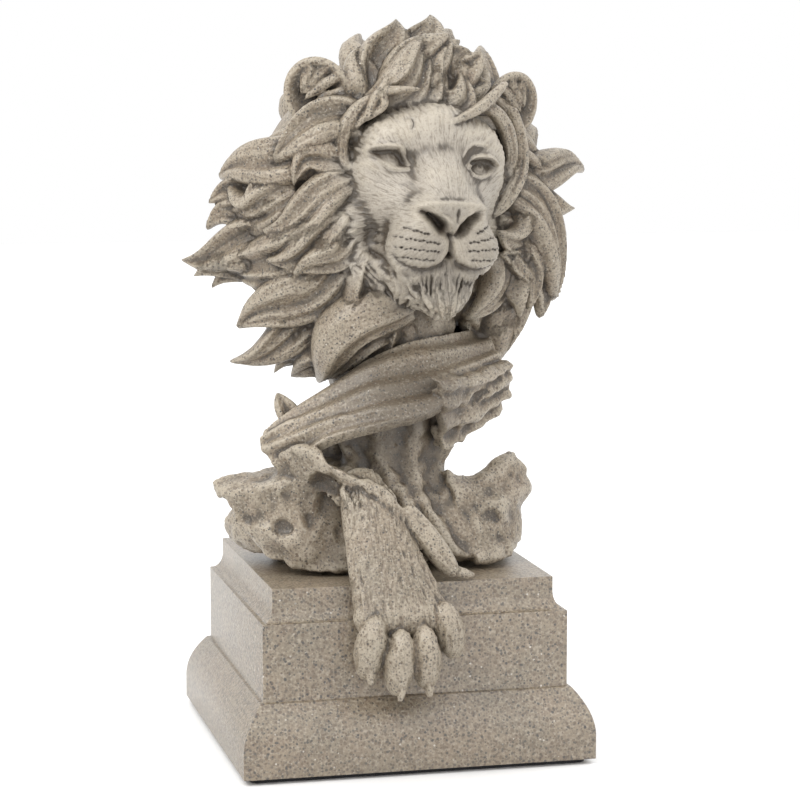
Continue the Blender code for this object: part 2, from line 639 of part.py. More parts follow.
# The hollowed rock that the neck tears into
TORSO_CLAY = [
    ((6, 10, 104), (24, 28, 28), (0, 0, 0)),
    ((8, -1, 100), (24, 20, 20), (0, 0, 0)),
    ((6, 4, 82), (28, 24, 26), (0, 0, 0)),
    ((22, -18, 72), (16, 14, 15), (0, 0, 0)),
    ((2, -2, 50), (22, 23, 26), (0, 0, 0)),
    ((-17, -1, 50), (14, 17, 20), (0, 0, 0)),
    ((-2, 14, 26), (30, 22, 26), (0, 0, 0)),
    ((-4, 4, 6), (46, 36, 14), (0, 0, 0)),
    ((-46, 2, 16), (22, 24, 13), (0, 0, 20)),
    ((40, 2, 10), (20, 22, 13), (0, 0, 0)),
    ((22, -18, 14), (20, 18, 13), (20, 0, 0)),
    ((-30, -18, 14), (24, 16, 13), (0, 0, 0)),
    ((34, -7, 74), (14, 8, 9), (0, 0, 0)),
    ((45, -4, 23), (10, 10, 14), (0, 25, 0)),
]
# Each skin's rows of points, its thickness, and how many ribs run along the rows and how deep
ROCK_SKINS = [
    ([[(10, -46, 84), (31, -28, 84), (50, -9, 86)], [(14, -38, 71), (34, -22, 72), (52, -6, 76)],
      [(16, -25, 53), (30, -14, 56), (46, -6, 65)]], 6, 3.5, 1.5),
    ([[(-24, -24, 72), (-24, -22, 56), (-20, -26, 44), (-10, -36, 30), (-2, -42, 14)],
      [(-4, -32, 73), (-6, -27, 57), (-4, -29, 44), (4, -37, 29), (12, -43, 10)],
      [(14, -33, 73), (10, -27, 56), (9, -28, 43), (15, -35, 27), (26, -41, 7)],
      [(34, -24, 71), (30, -19, 56), (25, -16, 42), (28, -25, 28), (42, -33, 4)]], 6, 3, 1.7),
    ([[(20, -22, 40), (30, -18, 35), (38, -15, 35), (46, -12, 41), (53, -8, 45), (60, -5, 40)],
      [(28, -28, 14), (40, -26, 22), (48, -20, 28), (54, -14, 31), (59, -6, 31)],
      [(32, -36, 0), (41, -32, 2), (46, -26, 4), (50, -20, 7), (52, -12, 14)]], 6, 2.5, 1.0),
    ([[(-20, -10, 48), (-50, -12, 44), (-77, -9, 38)],
      [(-20, -32, 46), (-50, -31, 41), (-76, -16, 35)]], 6, 0, 0),
    ([[(-20, -34, 45), (-50, -32, 40), (-75, -18, 34)], [(-22, -34, 24), (-50, -36, 22), (-68, -22, 22)],
      [(-22, -44, 3), (-44, -38, 3), (-57, -28, 8)]], 8, 1.5, 1.0),
    ([[(-48, -26, 52), (-40, -37, 57), (-28, -46, 50), (-15, -51, 42), (-3, -55, 31), (9, -57, 19)],
      [(-48, -22, 38), (-38, -30, 40), (-24, -36, 32), (-12, -42, 26), (0, -46, 18), (10, -48, 8)]],
     5, 0, 0),
]
TORSO_HOLLOWS = [
    ((-18, -46, 52), (17, 21, 9), (0, 6, 0)),
    ((40, -33, 72), (11, 9, 6), (0, -25, 20)),
    ((40, -40, 24), (13, 9, 9), (0, 30, 0)),
    ((-52, -42, 22), (6.5, 10, 6.5), (0, 0, 0)),
    ((-65, -32, 24), (5, 8, 5), (0, 0, 0)),
    ((-36, -46, 38), (10, 12, 8), (0, 20, 0)),
]


def ball_item(name, lumps, voxel, extra=None):
    bm = bmesh.new()
    for centre, radii, turn in lumps:
        add_lump(bm, centre, radii, turn, 4)
    if extra:
        extra(bm)
    return add_object(name, fuse(bm, voxel, 3))


def skins(bm):
    for rows, thick, ribs, depth in ROCK_SKINS:
        sheet(bm, rows, thick, ribs, depth)


def roughen(mesh, amount, grain):
    """Weathers a surface: broad noise, sharp ridges between scooped faces."""
    points = vertex_array(mesh)
    normals = np.empty(points.size, dtype=np.float32)
    mesh.vertices.foreach_get("normal", normals)
    broad = np.array([noise.fractal(Vector(point) / grain, 0.8, 2.1, 3) for point in points])
    shift = Vector((7, 3, 1))
    folds = np.array([abs(noise.noise(Vector(point) / (0.8 * grain) + shift)) for point in points])
    move = amount * (0.6 * broad + 1.2 * (0.22 - folds))
    place(mesh, points + move[:, None] * normals.reshape(-1, 3))


def torso_mesh(voxel):
    torso = ball_item("torso", TORSO_CLAY, voxel, skins)
    hollows = ball_item("hollows", TORSO_HOLLOWS, voxel)
    press = torso.modifiers.new("hollows", "BOOLEAN")
    press.operation = "DIFFERENCE"
    press.solver = "MANIFOLD"
    press.object = hollows
    mesh = evaluated_mesh(torso)
    bpy.data.objects.remove(hollows)
    roughen(mesh, 1.6, 12)
    return mesh


# The neck's skin that sweeps round its front to a tip at the left: rows from its top to its hem
HEM = [
    [(44, 4, 98), (26, -18, 99), (6, -25, 97), (-12, -22, 90), (-26, -19, 80), (-41, -18, 70),
     (-56, -20, 60)],
    [(50, -8, 91), (28, -28, 87), (8, -34, 82), (-12, -37, 78), (-30, -32, 69), (-46, -28, 61),
     (-58, -23, 54)],
    [(52, -12, 84), (26, -38, 76), (10, -47, 71), (-10, -50, 66), (-32, -42, 59), (-44, -33, 49),
     (-52, -27, 45)],
]


def neck(bm):
    """The torn rock, the neck's hem that sweeps round its front, and the two small tips beside it."""
    bm.from_mesh(torso_mesh(CLAY_VOXEL))
    sheet(bm, HEM, 6, ribs=2.5, depth=1.7, slant=0.35)
    spine_blade(bm, [(-38, -16, 60), (-45, -14, 66), (-48, -10, 75)], 10, 7, (0, -1, 0))


def limb(points, start_radii, end_radii, turn, count):
    """Lumps strung along a curve, from one size to another."""
    lumps = []
    for index in range(count):
        share = index / (count - 1)
        radii = [a + (b - a) * share for a, b in zip(start_radii, end_radii)]
        lumps.append((tuple(bezier(points, share)), tuple(radii), turn))
    return lumps


# The forearm and paw that hang over the plinth's front edge, which lies at EDGE
EDGE = -CAP_HALF_DEPTH / FIGURE_SCALE
ARM_LINE = [
    (-18, EDGE + 20, 38), (-17, EDGE + 10, 30), (-14, EDGE + 2, 16), (-10, EDGE - 6, 0),
    (-8, EDGE - 13, -12)]
ARM_CLAY = limb(ARM_LINE, (9, 8, 8), (20.5, 9, 10), (35, 0, 0), 18)
TOE_CLAY = [
    ((-23, EDGE - 19, -22), (6.5, 8, 14), (12, 10, 0)),
    ((-12, EDGE - 23, -28), (6.2, 8.5, 14.5), (12, 3, 0)),
    ((-0.5, EDGE - 22, -27), (6, 8.5, 14), (12, -4, 0)),
    ((10.5, EDGE - 17, -17), (6, 8, 13), (12, -14, 0)),
    ((-23.5, EDGE - 22.5, -34), (1.7, 2.4, 3.2), (15, 8, 0)),
    ((-12, EDGE - 26.5, -40.5), (1.7, 2.4, 3.2), (15, 3, 0)),
    ((0, EDGE - 25.5, -39.5), (1.7, 2.4, 3.2), (15, -3, 0)),
]
DEWCLAW = [(-3, EDGE + 10, 30), (6, EDGE + 2, 20), (14, EDGE, 6), (18, EDGE, 2)]


def paw(bm):
    bm.from_mesh(melted(ARM_CLAY + TOE_CLAY, [], 1.8, 1.5, CLAY_VOXEL))
    spine_blade(bm, DEWCLAW, 10, 10, (0, -1, 0.5), scoop=0.0, root=0.8, blunt=0.6)
    claw = [(14, EDGE + 1, 6), (20, EDGE - 2, 3), (26, EDGE, 2)]
    spine_blade(bm, claw, 4.5, 4.5, (0, -1, 0.5), scoop=0.0)


def fuse(bm, voxel, smoothing):
    """Joins clay that overlaps into one skin and softens its joints."""
    item = add_object("clay", mesh_of("clay", bm))
    skin = item.modifiers.new("skin", "REMESH")
    skin.mode = "VOXEL"
    skin.voxel_size = voxel
    if smoothing:
        soften = item.modifiers.new("soften", "SMOOTH")
        soften.factor = 0.5
        soften.iterations = smoothing
    return evaluated_mesh(item)


def one_piece(mesh):
    """Drops the crumbs and closed pockets that clay leaves, and keeps the piece with the most of it."""
    bm = bmesh.new()
    bm.from_mesh(mesh)
    bm.verts.ensure_lookup_table()
    unseen = set(bm.verts)
    pieces = []
    while unseen:
        queue = [unseen.pop()]
        piece = set(queue)
        while queue:
            for edge in queue.pop().link_edges:
                for vert in edge.verts:
                    if vert in unseen:
                        unseen.discard(vert)
                        piece.add(vert)
                        queue.append(vert)
        pieces.append(piece)
    largest = max(pieces, key=len)
    bmesh.ops.delete(bm, geom=[vert for vert in bm.verts if vert not in largest], context="VERTS")
    bm.to_mesh(mesh)
    bm.free()
    return mesh


def make_figure(material):
    """The lion, modelled in clay, simplified to facets and cut to sit on the plinth."""
    bm = bmesh.new()
    bm.from_mesh(face_mesh(0.8 * CLAY_VOXEL))
    ears(bm)
    mane(bm)
    neck(bm)
    paw(bm)
    mesh = one_piece(fuse(bm, CLAY_VOXEL, 1))
    mesh.transform(Matrix.Translation((0, 0, PLINTH_TOP)) @ Matrix.Scale(FIGURE_SCALE, 4))
    figure = add_object("figure_clay", mesh)
    fewer = figure.modifiers.new("facets", "DECIMATE")
    fewer.ratio = FIGURE_TRIANGLES / (2 * len(mesh.polygons))
    cutter = add_object("plinth_cutter", plinth_mesh(TOUCH_GAP))
    seat = figure.modifiers.new("seat on the plinth", "BOOLEAN")
    seat.operation = "DIFFERENCE"
    seat.solver = "EXACT"
    seat.object = cutter
    seated = one_piece(evaluated_mesh(figure))
    bpy.data.objects.remove(cutter)
    return add_object("lion_figure", seated, material)


def main():
    clear_scene()
    make_pad(finish_material("felt", FELT, 0.95))
    make_plinth(finish_material("plinth stone", PLINTH_STONE, 0.82))
    make_figure(finish_material("carved stone", STONE, 0.78))


main()
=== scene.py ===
"""A table-top lion bust in speckled sandstone resin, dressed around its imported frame.

Metres, +Z up. The lion is carved in figure units and scaled once, and it replaces the plain faceted figure.
"""

from math import acos, cos, degrees, pi, radians, sin, sqrt

import bmesh
import bpy
import numpy as np
from mathutils import Euler, Matrix, Vector, noise
from mathutils.bvhtree import BVHTree
from mathutils.kdtree import KDTree


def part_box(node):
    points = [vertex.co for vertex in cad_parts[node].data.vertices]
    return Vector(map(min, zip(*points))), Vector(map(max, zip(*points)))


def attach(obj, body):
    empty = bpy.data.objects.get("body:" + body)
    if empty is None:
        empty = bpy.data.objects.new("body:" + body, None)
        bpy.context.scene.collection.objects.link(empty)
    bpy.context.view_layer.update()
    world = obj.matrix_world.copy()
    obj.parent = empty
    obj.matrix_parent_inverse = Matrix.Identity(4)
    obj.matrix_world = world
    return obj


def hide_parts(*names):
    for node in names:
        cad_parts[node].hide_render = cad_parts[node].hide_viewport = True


bl_info = {
    "name": "Sandstone lion bust",
    "version": (1, 0, 0),
    "blender": (4, 5, 0),
    "location": "View3D > Sidebar > Lion",
    "description": "Carves a table-top lion bust, its stepped plinth and a plain studio",
    "category": "Object",
}

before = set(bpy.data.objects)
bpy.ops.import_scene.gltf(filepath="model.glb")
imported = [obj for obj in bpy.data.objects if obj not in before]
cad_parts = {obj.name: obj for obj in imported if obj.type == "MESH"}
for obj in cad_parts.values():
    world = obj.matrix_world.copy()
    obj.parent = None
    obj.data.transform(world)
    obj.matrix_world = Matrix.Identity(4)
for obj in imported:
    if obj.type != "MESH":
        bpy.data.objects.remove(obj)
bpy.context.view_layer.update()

# The plinth's sizes, those that the frame doesn't give
PLINTH_LOW, PLINTH_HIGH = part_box("plinth")
PLINTH_WIDTH = PLINTH_HIGH[0] - PLINTH_LOW[0]
PLINTH_DEPTH = PLINTH_HIGH[1] - PLINTH_LOW[1]
PLINTH_HEIGHT = PLINTH_HIGH[2] - PLINTH_LOW[2]
PLINTH_UNDERSIDE = PLINTH_LOW[2]
PLINTH_TOP = PLINTH_HIGH[2]
FOOT_FASCIA_HEIGHT = 0.0100
FOOT_OVOLO_HEIGHT = 0.0195
FOOT_OVOLO_REACH = 0.0100
FOOT_OVOLO_BELLY = 0.85
FOOT_LEDGE = 0.0003
CAP_FASCIA_HEIGHT = 0.0062
CAP_COVE_HEIGHT = 0.0076
CAP_COVE_REACH = 0.0050
PLINTH_EDGE_ROUND = 0.0008
WORN_SEGMENTS = 3
WORN_ANGLE, SHARP_ANGLE = radians(35), radians(30)
TOUCH_GAP = 0.0003
CAP_HALF_DEPTH = PLINTH_DEPTH / 2 - FOOT_OVOLO_REACH - CAP_COVE_REACH

FIGURE_HEIGHT = 0.234
FIGURE_UNITS = 234.0
FIGURE_SCALE = FIGURE_HEIGHT / FIGURE_UNITS

CLAY_VOXEL = 0.66
FIGURE_TRIANGLES = 192000
SKY_RAYS = 16
SHELTER_START, SHELTER_REACH, SHELTER_DIP = 0.0012, 0.09, -0.2
MOULDING_STEPS = 24
BLADE_GRID = (48, 26)
SHEET_GRID = (36, 20)
FOLD_RISE, FOLD_DROP = 0.78, 0.22
FURROW_RELIEF = 0.42
HAIR_RELIEF = 0.13
HAIRS_ACROSS = 10
UPPER_SIDE = Vector((-0.5, 0.0, 1.0))

# Each lock's surface points, with how far across the lock they lie. The step keeps locks apart.
STRAND_SAMPLES = []
STRAND_STEP, STRAND_CYCLE = 41, 97

# The head's own frame: the face looks along -Y, and the centre lies inside the skull.
HEAD_CENTRE = Vector((14.5, -11.7, 172.7))
HEAD_TURN = radians(4.5)
HEAD_TILT = radians(4.0)
HEAD_POSE = Matrix.Rotation(HEAD_TURN, 4, "Z") @ Matrix.Rotation(HEAD_TILT, 4, "Y")
HEAD = Matrix.Translation(HEAD_CENTRE) @ HEAD_POSE

# The mane lies on a dome behind the face.
MANE_CENTRE = Vector((-3.0, 30.0, -21.0))
MANE_RADII = Vector((60.0, 46.0, 62.0))
FACE_SINK = 0.26


def add_object(name, data, material=None):
    """A new object in the scene: a mesh with its material, a light or a camera."""
    item = bpy.data.objects.new(name, data)
    bpy.context.scene.collection.objects.link(item)
    if material:
        data.materials.append(material)
    return item


def mesh_of(name, bm):
    mesh = bpy.data.meshes.new(name)
    bm.to_mesh(mesh)
    bm.free()
    return mesh


def evaluated_mesh(item):
    """The item's mesh with its modifiers applied. The item itself is removed."""
    graph = bpy.context.evaluated_depsgraph_get()
    mesh = bpy.data.meshes.new_from_object(item.evaluated_get(graph))
    bpy.data.objects.remove(item)
    return mesh


def vertex_array(mesh, kind="co"):
    """One row for each vertex: its place, or its normal."""
    rows = np.empty(len(mesh.vertices) * 3, dtype=np.float32)
    mesh.vertices.foreach_get(kind, rows)
    return rows.reshape(-1, 3).astype(float)


def place(mesh, points):
    mesh.vertices.foreach_set("co", points.astype(np.float32).ravel())
    mesh.update()


def edge_pairs(mesh):
    """The two vertices of each edge."""
    pairs = np.empty(len(mesh.edges) * 2, dtype=np.int32)
    mesh.edges.foreach_get("vertices", pairs)
    return pairs.reshape(-1, 2)


def store(mesh, name, values):
    """Keeps a value for each vertex, for the stone's shading to read."""
    layer = mesh.attributes.new(name, "FLOAT", "POINT")
    layer.data.foreach_set("value", values.astype(np.float32))


def plinth_profile():
    """(inset from the widest outline, height) up the plinth's side."""
    foot = FOOT_FASCIA_HEIGHT
    rows = [(0.0, 0.0), (0.0, foot)]
    for step in range(1, MOULDING_STEPS + 1):
        share = step / MOULDING_STEPS
        rows.append((FOOT_OVOLO_REACH * (FOOT_OVOLO_BELLY * share * share), foot + FOOT_OVOLO_HEIGHT * share))
    rows.append((FOOT_OVOLO_REACH, foot + FOOT_OVOLO_HEIGHT + FOOT_LEDGE))
    cove_top = PLINTH_HEIGHT - CAP_FASCIA_HEIGHT
    cove_foot = cove_top - CAP_COVE_HEIGHT
    for step in range(MOULDING_STEPS + 1):
        turn = step / MOULDING_STEPS * pi / 2
        inset = FOOT_OVOLO_REACH + CAP_COVE_REACH * sin(turn)
        rows.append((inset, cove_foot + CAP_COVE_HEIGHT * (1 - cos(turn))))
    rows.append((FOOT_OVOLO_REACH + CAP_COVE_REACH, PLINTH_HEIGHT))
    return rows


def plinth_mesh(grow=0.0):
    """The stepped plinth: a square ring drawn up its profile and closed. A cutter grows all round."""
    bm = bmesh.new()
    half_width, half_depth = PLINTH_WIDTH / 2 + grow, PLINTH_DEPTH / 2 + grow
    bmesh.ops.create_circle(bm, segments=4, radius=sqrt(2), matrix=Matrix.Rotation(pi / 4, 4, "Z"))
    bmesh.ops.scale(bm, vec=(half_width, half_depth, 1), verts=bm.verts)
    bmesh.ops.translate(bm, vec=(0, 0, PLINTH_UNDERSIDE - grow), verts=bm.verts)
    edges = bm.edges[:]
    inset, level = 0.0, -grow
    for next_inset, height in plinth_profile()[1:]:
        height += grow if height > PLINTH_HEIGHT / 2 else 0.0
        drawn = bmesh.ops.extrude_edge_only(bm, edges=edges)["geom"]
        verts = [part for part in drawn if isinstance(part, bmesh.types.BMVert)]
        edges = [part for part in drawn if isinstance(part, bmesh.types.BMEdge)]
        narrower = [(half - next_inset) / (half - inset) for half in (half_width, half_depth)]
        bmesh.ops.scale(bm, vec=(*narrower, 1), verts=verts)
        bmesh.ops.translate(bm, vec=(0, 0, height - level), verts=verts)
        inset, level = next_inset, height
    bmesh.ops.holes_fill(bm, edges=bm.edges, sides=4)
    bmesh.ops.recalc_face_normals(bm, faces=bm.faces)
    return mesh_of("plinth", bm)


# Clay: everything below is modelled in figure units and scaled once, at the end.

# How far lumps flow into one another, how soft a hollow's rim is, and how the melted skin is found
FACE_MELT, ARM_MELT, HOLLOW_RIM = 6.0, 1.8, 3.0
MELT_ROUNDS, MELT_PROBE, MELT_STEP = 5, 0.3, 2.5
FAR_AWAY = 1e3
# How deeply and how broadly the rock is weathered
WEATHER_DEPTH, WEATHER_GRAIN = 1.6, 12
# How far outside the bare face its carving and its finish reach
CARVING_REACH, FINISH_REACH = 1.6, 3.0
SKIN_SEARCH, SHARE_FADE = 7, 0.9
# The box that holds the face, in the head's frame, and the one that holds the forearm and paw
FACE_HALF_WIDTH, FACE_BACK, FACE_MIDDLE, FACE_HALF_HEIGHT = 44, 12, -18, 52
ARM_MIDDLE, ARM_HALF_WIDTH, ARM_BACK, ARM_TOP = -8, 34, -30, 45


def turned(turn):
    return Euler([radians(angle) for angle in turn]).to_matrix().to_4x4()


def balls(clay):
    """Balls of clay, each squeezed to its radii and turned by degrees."""
    bm = bmesh.new()
    for centre, radii, turn in clay:
        spot = Matrix.Translation(centre) @ turned(turn) @ Matrix.Diagonal((*radii, 1))
        bmesh.ops.create_icosphere(bm, subdivisions=4, radius=1, matrix=spot)
    return bm


def lumps(rows):
    """Rows of centre, radii and turn in degrees, where a row may leave out a turn of nothing."""
    return [(row[0], row[1], row[2] if len(row) > 2 else (0, 0, 0)) for row in rows]


def both_sides(rows):
    """Each lump twice, the second mirrored across the middle."""
    pairs = []
    for centre, radii, turn in lumps(rows):
        pairs.append((centre, radii, turn))
        pairs.append(((-centre[0], centre[1], centre[2]), radii, (turn[0], -turn[1], -turn[2])))
    return pairs


def distances(points, clay, melt):
    """The signed distance from each point to the lumps of clay, melted into one another."""
    field = np.full(len(points), FAR_AWAY)
    for centre, radii, turn in clay:
        local = (points - np.array(centre)) @ np.array(turned(turn).to_3x3())
        near = np.linalg.norm(local / radii, axis=1)
        steep = np.linalg.norm(local / np.square(radii), axis=1) + 1e-9
        one = near * (near - 1) / steep
        share = np.clip(0.5 + 0.5 * (field - one) / melt, 0, 1)
        field = field * (1 - share) + one * share - melt * share * (1 - share)
    return field


def hollowed(points, clay, hollows, melt):
    """The same distance with soft hollows cut from the clay."""
    field = distances(points, clay, melt)
    for hollow in hollows:
        cut = -distances(points, [hollow], melt)
        share = np.clip(0.5 - 0.5 * (field - cut) / HOLLOW_RIM, 0, 1)
        field = field * (1 - share) + cut * share + HOLLOW_RIM * share * (1 - share)
    return field


def melted(clay, hollows, melt):
    """One skin over lumps that flow into one another, with soft hollows pressed into it."""
    mesh = fuse(balls(clay), smoothing=2)
    points = vertex_array(mesh)
    for _ in range(MELT_ROUNDS):
        field = hollowed(points, clay, hollows, melt)
        slope = np.stack([
            hollowed(points + MELT_PROBE * way, clay, hollows, melt) - field for way in np.eye(3)
        ], axis=1) / MELT_PROBE
        slope /= np.maximum(np.sum(slope * slope, axis=1, keepdims=True), 0.2)
        points = points - np.clip(field, -MELT_STEP, MELT_STEP)[:, None] * slope
    place(mesh, points)
    return mesh


def bezier(points, share):
    """A point on the smooth curve whose handles are the given points."""
    row = [Vector(point) for point in points]
    while len(row) > 1:
        row = [a.lerp(b, share) for a, b in zip(row, row[1:])]
    return row[0]


def leaf_width(share, root, widest, blunt):
    """How wide a leaf is along its length, from its root's share to its tip."""
    if share < widest:
        return root + (1 - root) * sin(pi / 2 * share / widest)
    fall = (share - widest) / (1 - widest)
    return (1 - fall**2) ** blunt


def blade(bm, path, outward, half_width, half_thick, scoop=0.55, ribs=2, root=0.6, widest=0.45, blunt=0.85,
          roll=0.0, phase=0.0, keel=None, lean=0.0):
    """A leaf of clay along a path: a scooped and folded face and a pointed tip.

    path(share) and outward(share) give its centre line and the way its face looks, and
    keel(share) how deep its back reaches. The scoop lies off the middle by lean, on the lower
    side. Each fold rises slowly to a sharp crest and drops steeply below it.
    """
    around, along = BLADE_GRID
    low = -1 if (path(0.52) - path(0.48)).cross(outward(0.5)).dot(UPPER_SIDE) > 0 else 1
    grid = bmesh.ops.create_grid(bm, x_segments=around, y_segments=along, size=1)["verts"]
    frames = {}
    order = STRAND_STEP * (len(STRAND_SAMPLES) // (around * along) % STRAND_CYCLE)
    for vert in grid:
        share = (vert.co.y + 1) / 2
        key = round(share, 4)
        if key not in frames:
            tangent = (path(min(share + 0.02, 1)) - path(max(share - 0.02, 0))).normalized()
            side = tangent.cross(outward(share)).normalized()
            face = side.cross(tangent)
            turn = roll * share
            turned_side = side * cos(turn) + face * sin(turn)
            frames[key] = (path(share), turned_side, face * cos(turn) - side * sin(turn))
        centre, side, face = frames[key]
        swell = leaf_width(share, root, widest, blunt) if 0.001 < share < 0.999 else 0.0
        turn = vert.co.x * pi
        across, lift = cos(turn), sin(turn)
        thickness = half_thick * (0.25 + 0.75 * swell) if swell else 0.0
        if lift > 0:
            dish = scoop * max(0.0, 1 - ((low * across - lean) / 0.85) ** 2) * min(1, 2.2 * share)
            height = (1 - across**4) ** 0.5 * (1 - dish)
            fold = (ribs / 2 * low * across + phase + 0.35 * share) % 1
            rise = ((fold / FOLD_RISE) ** 1.5 if fold < FOLD_RISE
                    else 0.5 + 0.5 * cos(pi * (fold - FOLD_RISE) / FOLD_DROP))
            height += FURROW_RELIEF * 3 / (ribs + 1) * (rise - 0.4) * (1 - across**4)
            hair = abs(sin(pi / 2 * HAIRS_ACROSS * across + 2 * phase + 3 * share))
            height += HAIR_RELIEF * (0.6 - hair) * (1 - across**2)
        else:
            height = lift
            if keel and swell:
                thickness = max(thickness, keel(share))
        vert.co = centre + side * (across * half_width * swell) + face * (height * thickness)
        STRAND_SAMPLES.append((vert.co.copy(), order + across * half_width))
    bmesh.ops.remove_doubles(bm, verts=grid, dist=0.02)


def way_of(clock, opening):
    """A way from the dome's centre: clock from the crown to the viewer's right, opening from the face."""
    clock, opening = radians(clock), radians(opening)
    return Vector((sin(opening) * sin(clock), -cos(opening), sin(opening) * cos(clock)))


def on_dome(way, lift):
    """A point of the mane's dome and its outward way, in the head's frame."""
    normal = Vector([a / r for a, r in zip(way, MANE_RADII)]).normalized()
    return MANE_CENTRE + Vector([a * r for a, r in zip(way, MANE_RADII)]) + normal * lift, normal


# How deep a lock's root starts, how far it sways in degrees, and how deep and how far its keel reaches
ROOT_SINK, LOCK_SWAY = 3.0, 1.8
KEEL_DEPTH, KEEL_END, KEEL_FADE = 4, 0.85, 0.35
# A wide lock has a companion: its share of the lock's width and lift, how far aside it starts, its ends
WIDE_LOCK = 18
COMPANION_WIDTH, COMPANION_LIFT, COMPANION_ASIDE = 0.62, 0.75, 0.42
COMPANION_START, COMPANION_END = 0.25, 0.9


def lock(bm, start, end, lift, width, bow=0.0, roll=0.0, swell=3.0, order=0):
    """A lock of the mane from one way to another. It bows sideways and lifts off towards its tip."""
    sideways = start.cross(end).normalized() * radians(bow)
    sway = start.cross(end).normalized() * radians(LOCK_SWAY if order % 2 else -LOCK_SWAY)

    def height(share):
        return -ROOT_SINK + (lift + ROOT_SINK) * share**1.5 + swell * sin(pi * share) ** 0.7

    def spot(share):
        way = start.lerp(end, share) + sideways * sin(pi * share) + sway * sin(2 * pi * share)
        return on_dome(way.normalized(), height(share))

    def path(share):
        return HEAD @ spot(share)[0]

    def outward(share):
        return HEAD.to_3x3() @ spot(share)[1]

    def keel(share):
        return (height(share) + KEEL_DEPTH) * min(max((KEEL_END - share) / KEEL_FADE, 0), 1)

    blade(bm, path, outward, width / 2, width * 0.34, scoop=0.55, ribs=(2 + order % 3) * width / 24,
          root=0.7, widest=0.4, blunt=1.2, roll=roll, phase=order * 1.7, keel=keel, lean=0.35)


def companion(bm, row, order):
    """A smaller lock that leaves the lower side of the given one and ends before it."""
    clock, opening, end_clock, end_opening, lift, width, bow, roll, swell = row
    start, end = way_of(clock, opening), way_of(end_clock, end_opening)
    across = start.cross(end).normalized()
    if across.dot(UPPER_SIDE) > 0:
        across = -across
    side = across * radians(width * COMPANION_ASIDE)
    first = (start.lerp(end, COMPANION_START) + side).normalized()
    last = (start.lerp(end, COMPANION_END) + 1.3 * side).normalized()
    lock(bm, first, last, COMPANION_LIFT * lift, COMPANION_WIDTH * width, bow, -roll, swell, order)


# The locks round the face: start clock and opening, end clock and opening, lift, width, bow, roll, swell
FRONT_LOCKS = [
    (326, 40, 285, 64, 9, 22, -6, -0.5, 5),
    (303, 50, 275, 97, 15, 22, 3, -0.3, 4),
    (290, 34, 259, 67, 10, 19, 4, -0.4, 4),
    (268, 34, 244, 98, 12, 27, 5, -0.4, 4),
    (266, 30, 249, 66, 13, 16, 3, 0.3, 4),
    (250, 29, 240, 56, 12, 14, 2, 0.3, 4),
    (222, 26, 202, 88, 13, 22, 6, 0.4, 6),
    (232, 44, 230, 86, 26, 25, 0, -0.4, 3),
    (216, 56, 224, 91, 37, 20, 0, -0.3, 3),
    (205, 60, 212, 91, 24, 20, 0, 0.3, 3),
    (182, 44, 204, 80, 20, 40, -6, 0.4, 6),
    (198, 50, 208, 88, 24, 22, 0, -0.3, 5),
    (188, 38, 196, 82, 19, 22, 4, -0.4, 7),
    (170, 50, 180, 80, 9, 20, 0, -0.4, 6),
    (328, 43, 2, 69, 18, 31, -8, -0.4, 5),
    (352, 42, 10, 68, 21, 26, 4, -0.3, 6),
    (8, 43, 19, 65, 18, 20, 4, -0.3, 6),
    (20, 45, 22, 67, 20, 17, 4, 0.3, 6),
    (34, 44, 86, 72, 8, 18, 8, 0.5, 4),
    (74, 48, 117, 78, 24, 27, 4, 0.3, 4),
    (84, 70, 100, 31, 7, 19, 6, 0.2, 4),
    (93, 40, 116, 62, 9, 13, 6, -0.4, 4),
    (112, 66, 157, 66, 9, 25, 10, 0.4, 5),
    (108, 42, 150, 50, 8, 17, 8, -0.4, 4),
    (118, 72, 154, 72, 22, 25, 6, 0.4, 5),
    (108, 74, 140, 76, 21, 22, 4, -0.3, 5),
    (96, 60, 124, 76, 23, 22, 2, -0.3, 4),
]
# The locks that show behind them
BACK_LOCKS = [
    (281, 72, 267, 95, 20, 14, 0, 0.2, 2),
    (294, 60, 289, 86, 6, 16, 0, -0.3, 2),
    (268, 72, 259, 98, 21, 16, -2, 0.2, 2),
    (256, 70, 252, 101, 34, 19, 0, -0.3, 3),
    (246, 72, 247, 97, 31, 15, 0, 0.3, 3),
    (38, 56, 29, 94, 20, 16, 0, 0.3, 3),
    (340, 56, 355, 80, 19, 22, 0, -0.3, 5),
    (328, 50, 342, 74, 12, 17, 0, -0.3, 4),
    (356, 58, 7, 83, 22, 22, 0, 0.3, 5),
    (14, 60, 16, 86, 18, 18, 0, -0.3, 5),
    (24, 50, 25, 72, 15, 15, 0, 0.3, 4),
    (68, 58, 78, 91, 33, 19, 0, 0.3, 3),
    (82, 58, 93, 87, 18, 18, 0, -0.3, 3),
]
# The locks that cover the rest of the dome, in a spiral from one opening to another
FILL_LOCKS = 64
FILL_FROM, FILL_TO = 52, 168
FILL_WIDTH, FILL_REACH, FILL_SWELL = 25, 0.62, 3.0
GOLDEN_ANGLE = 137.508
# Between these clocks the spiral keeps behind this opening, so that the front's outline stays clear
FILL_GAPS = [(22, 72, 90), (284, 336, 104)]
BEARD_TUFTS = 13


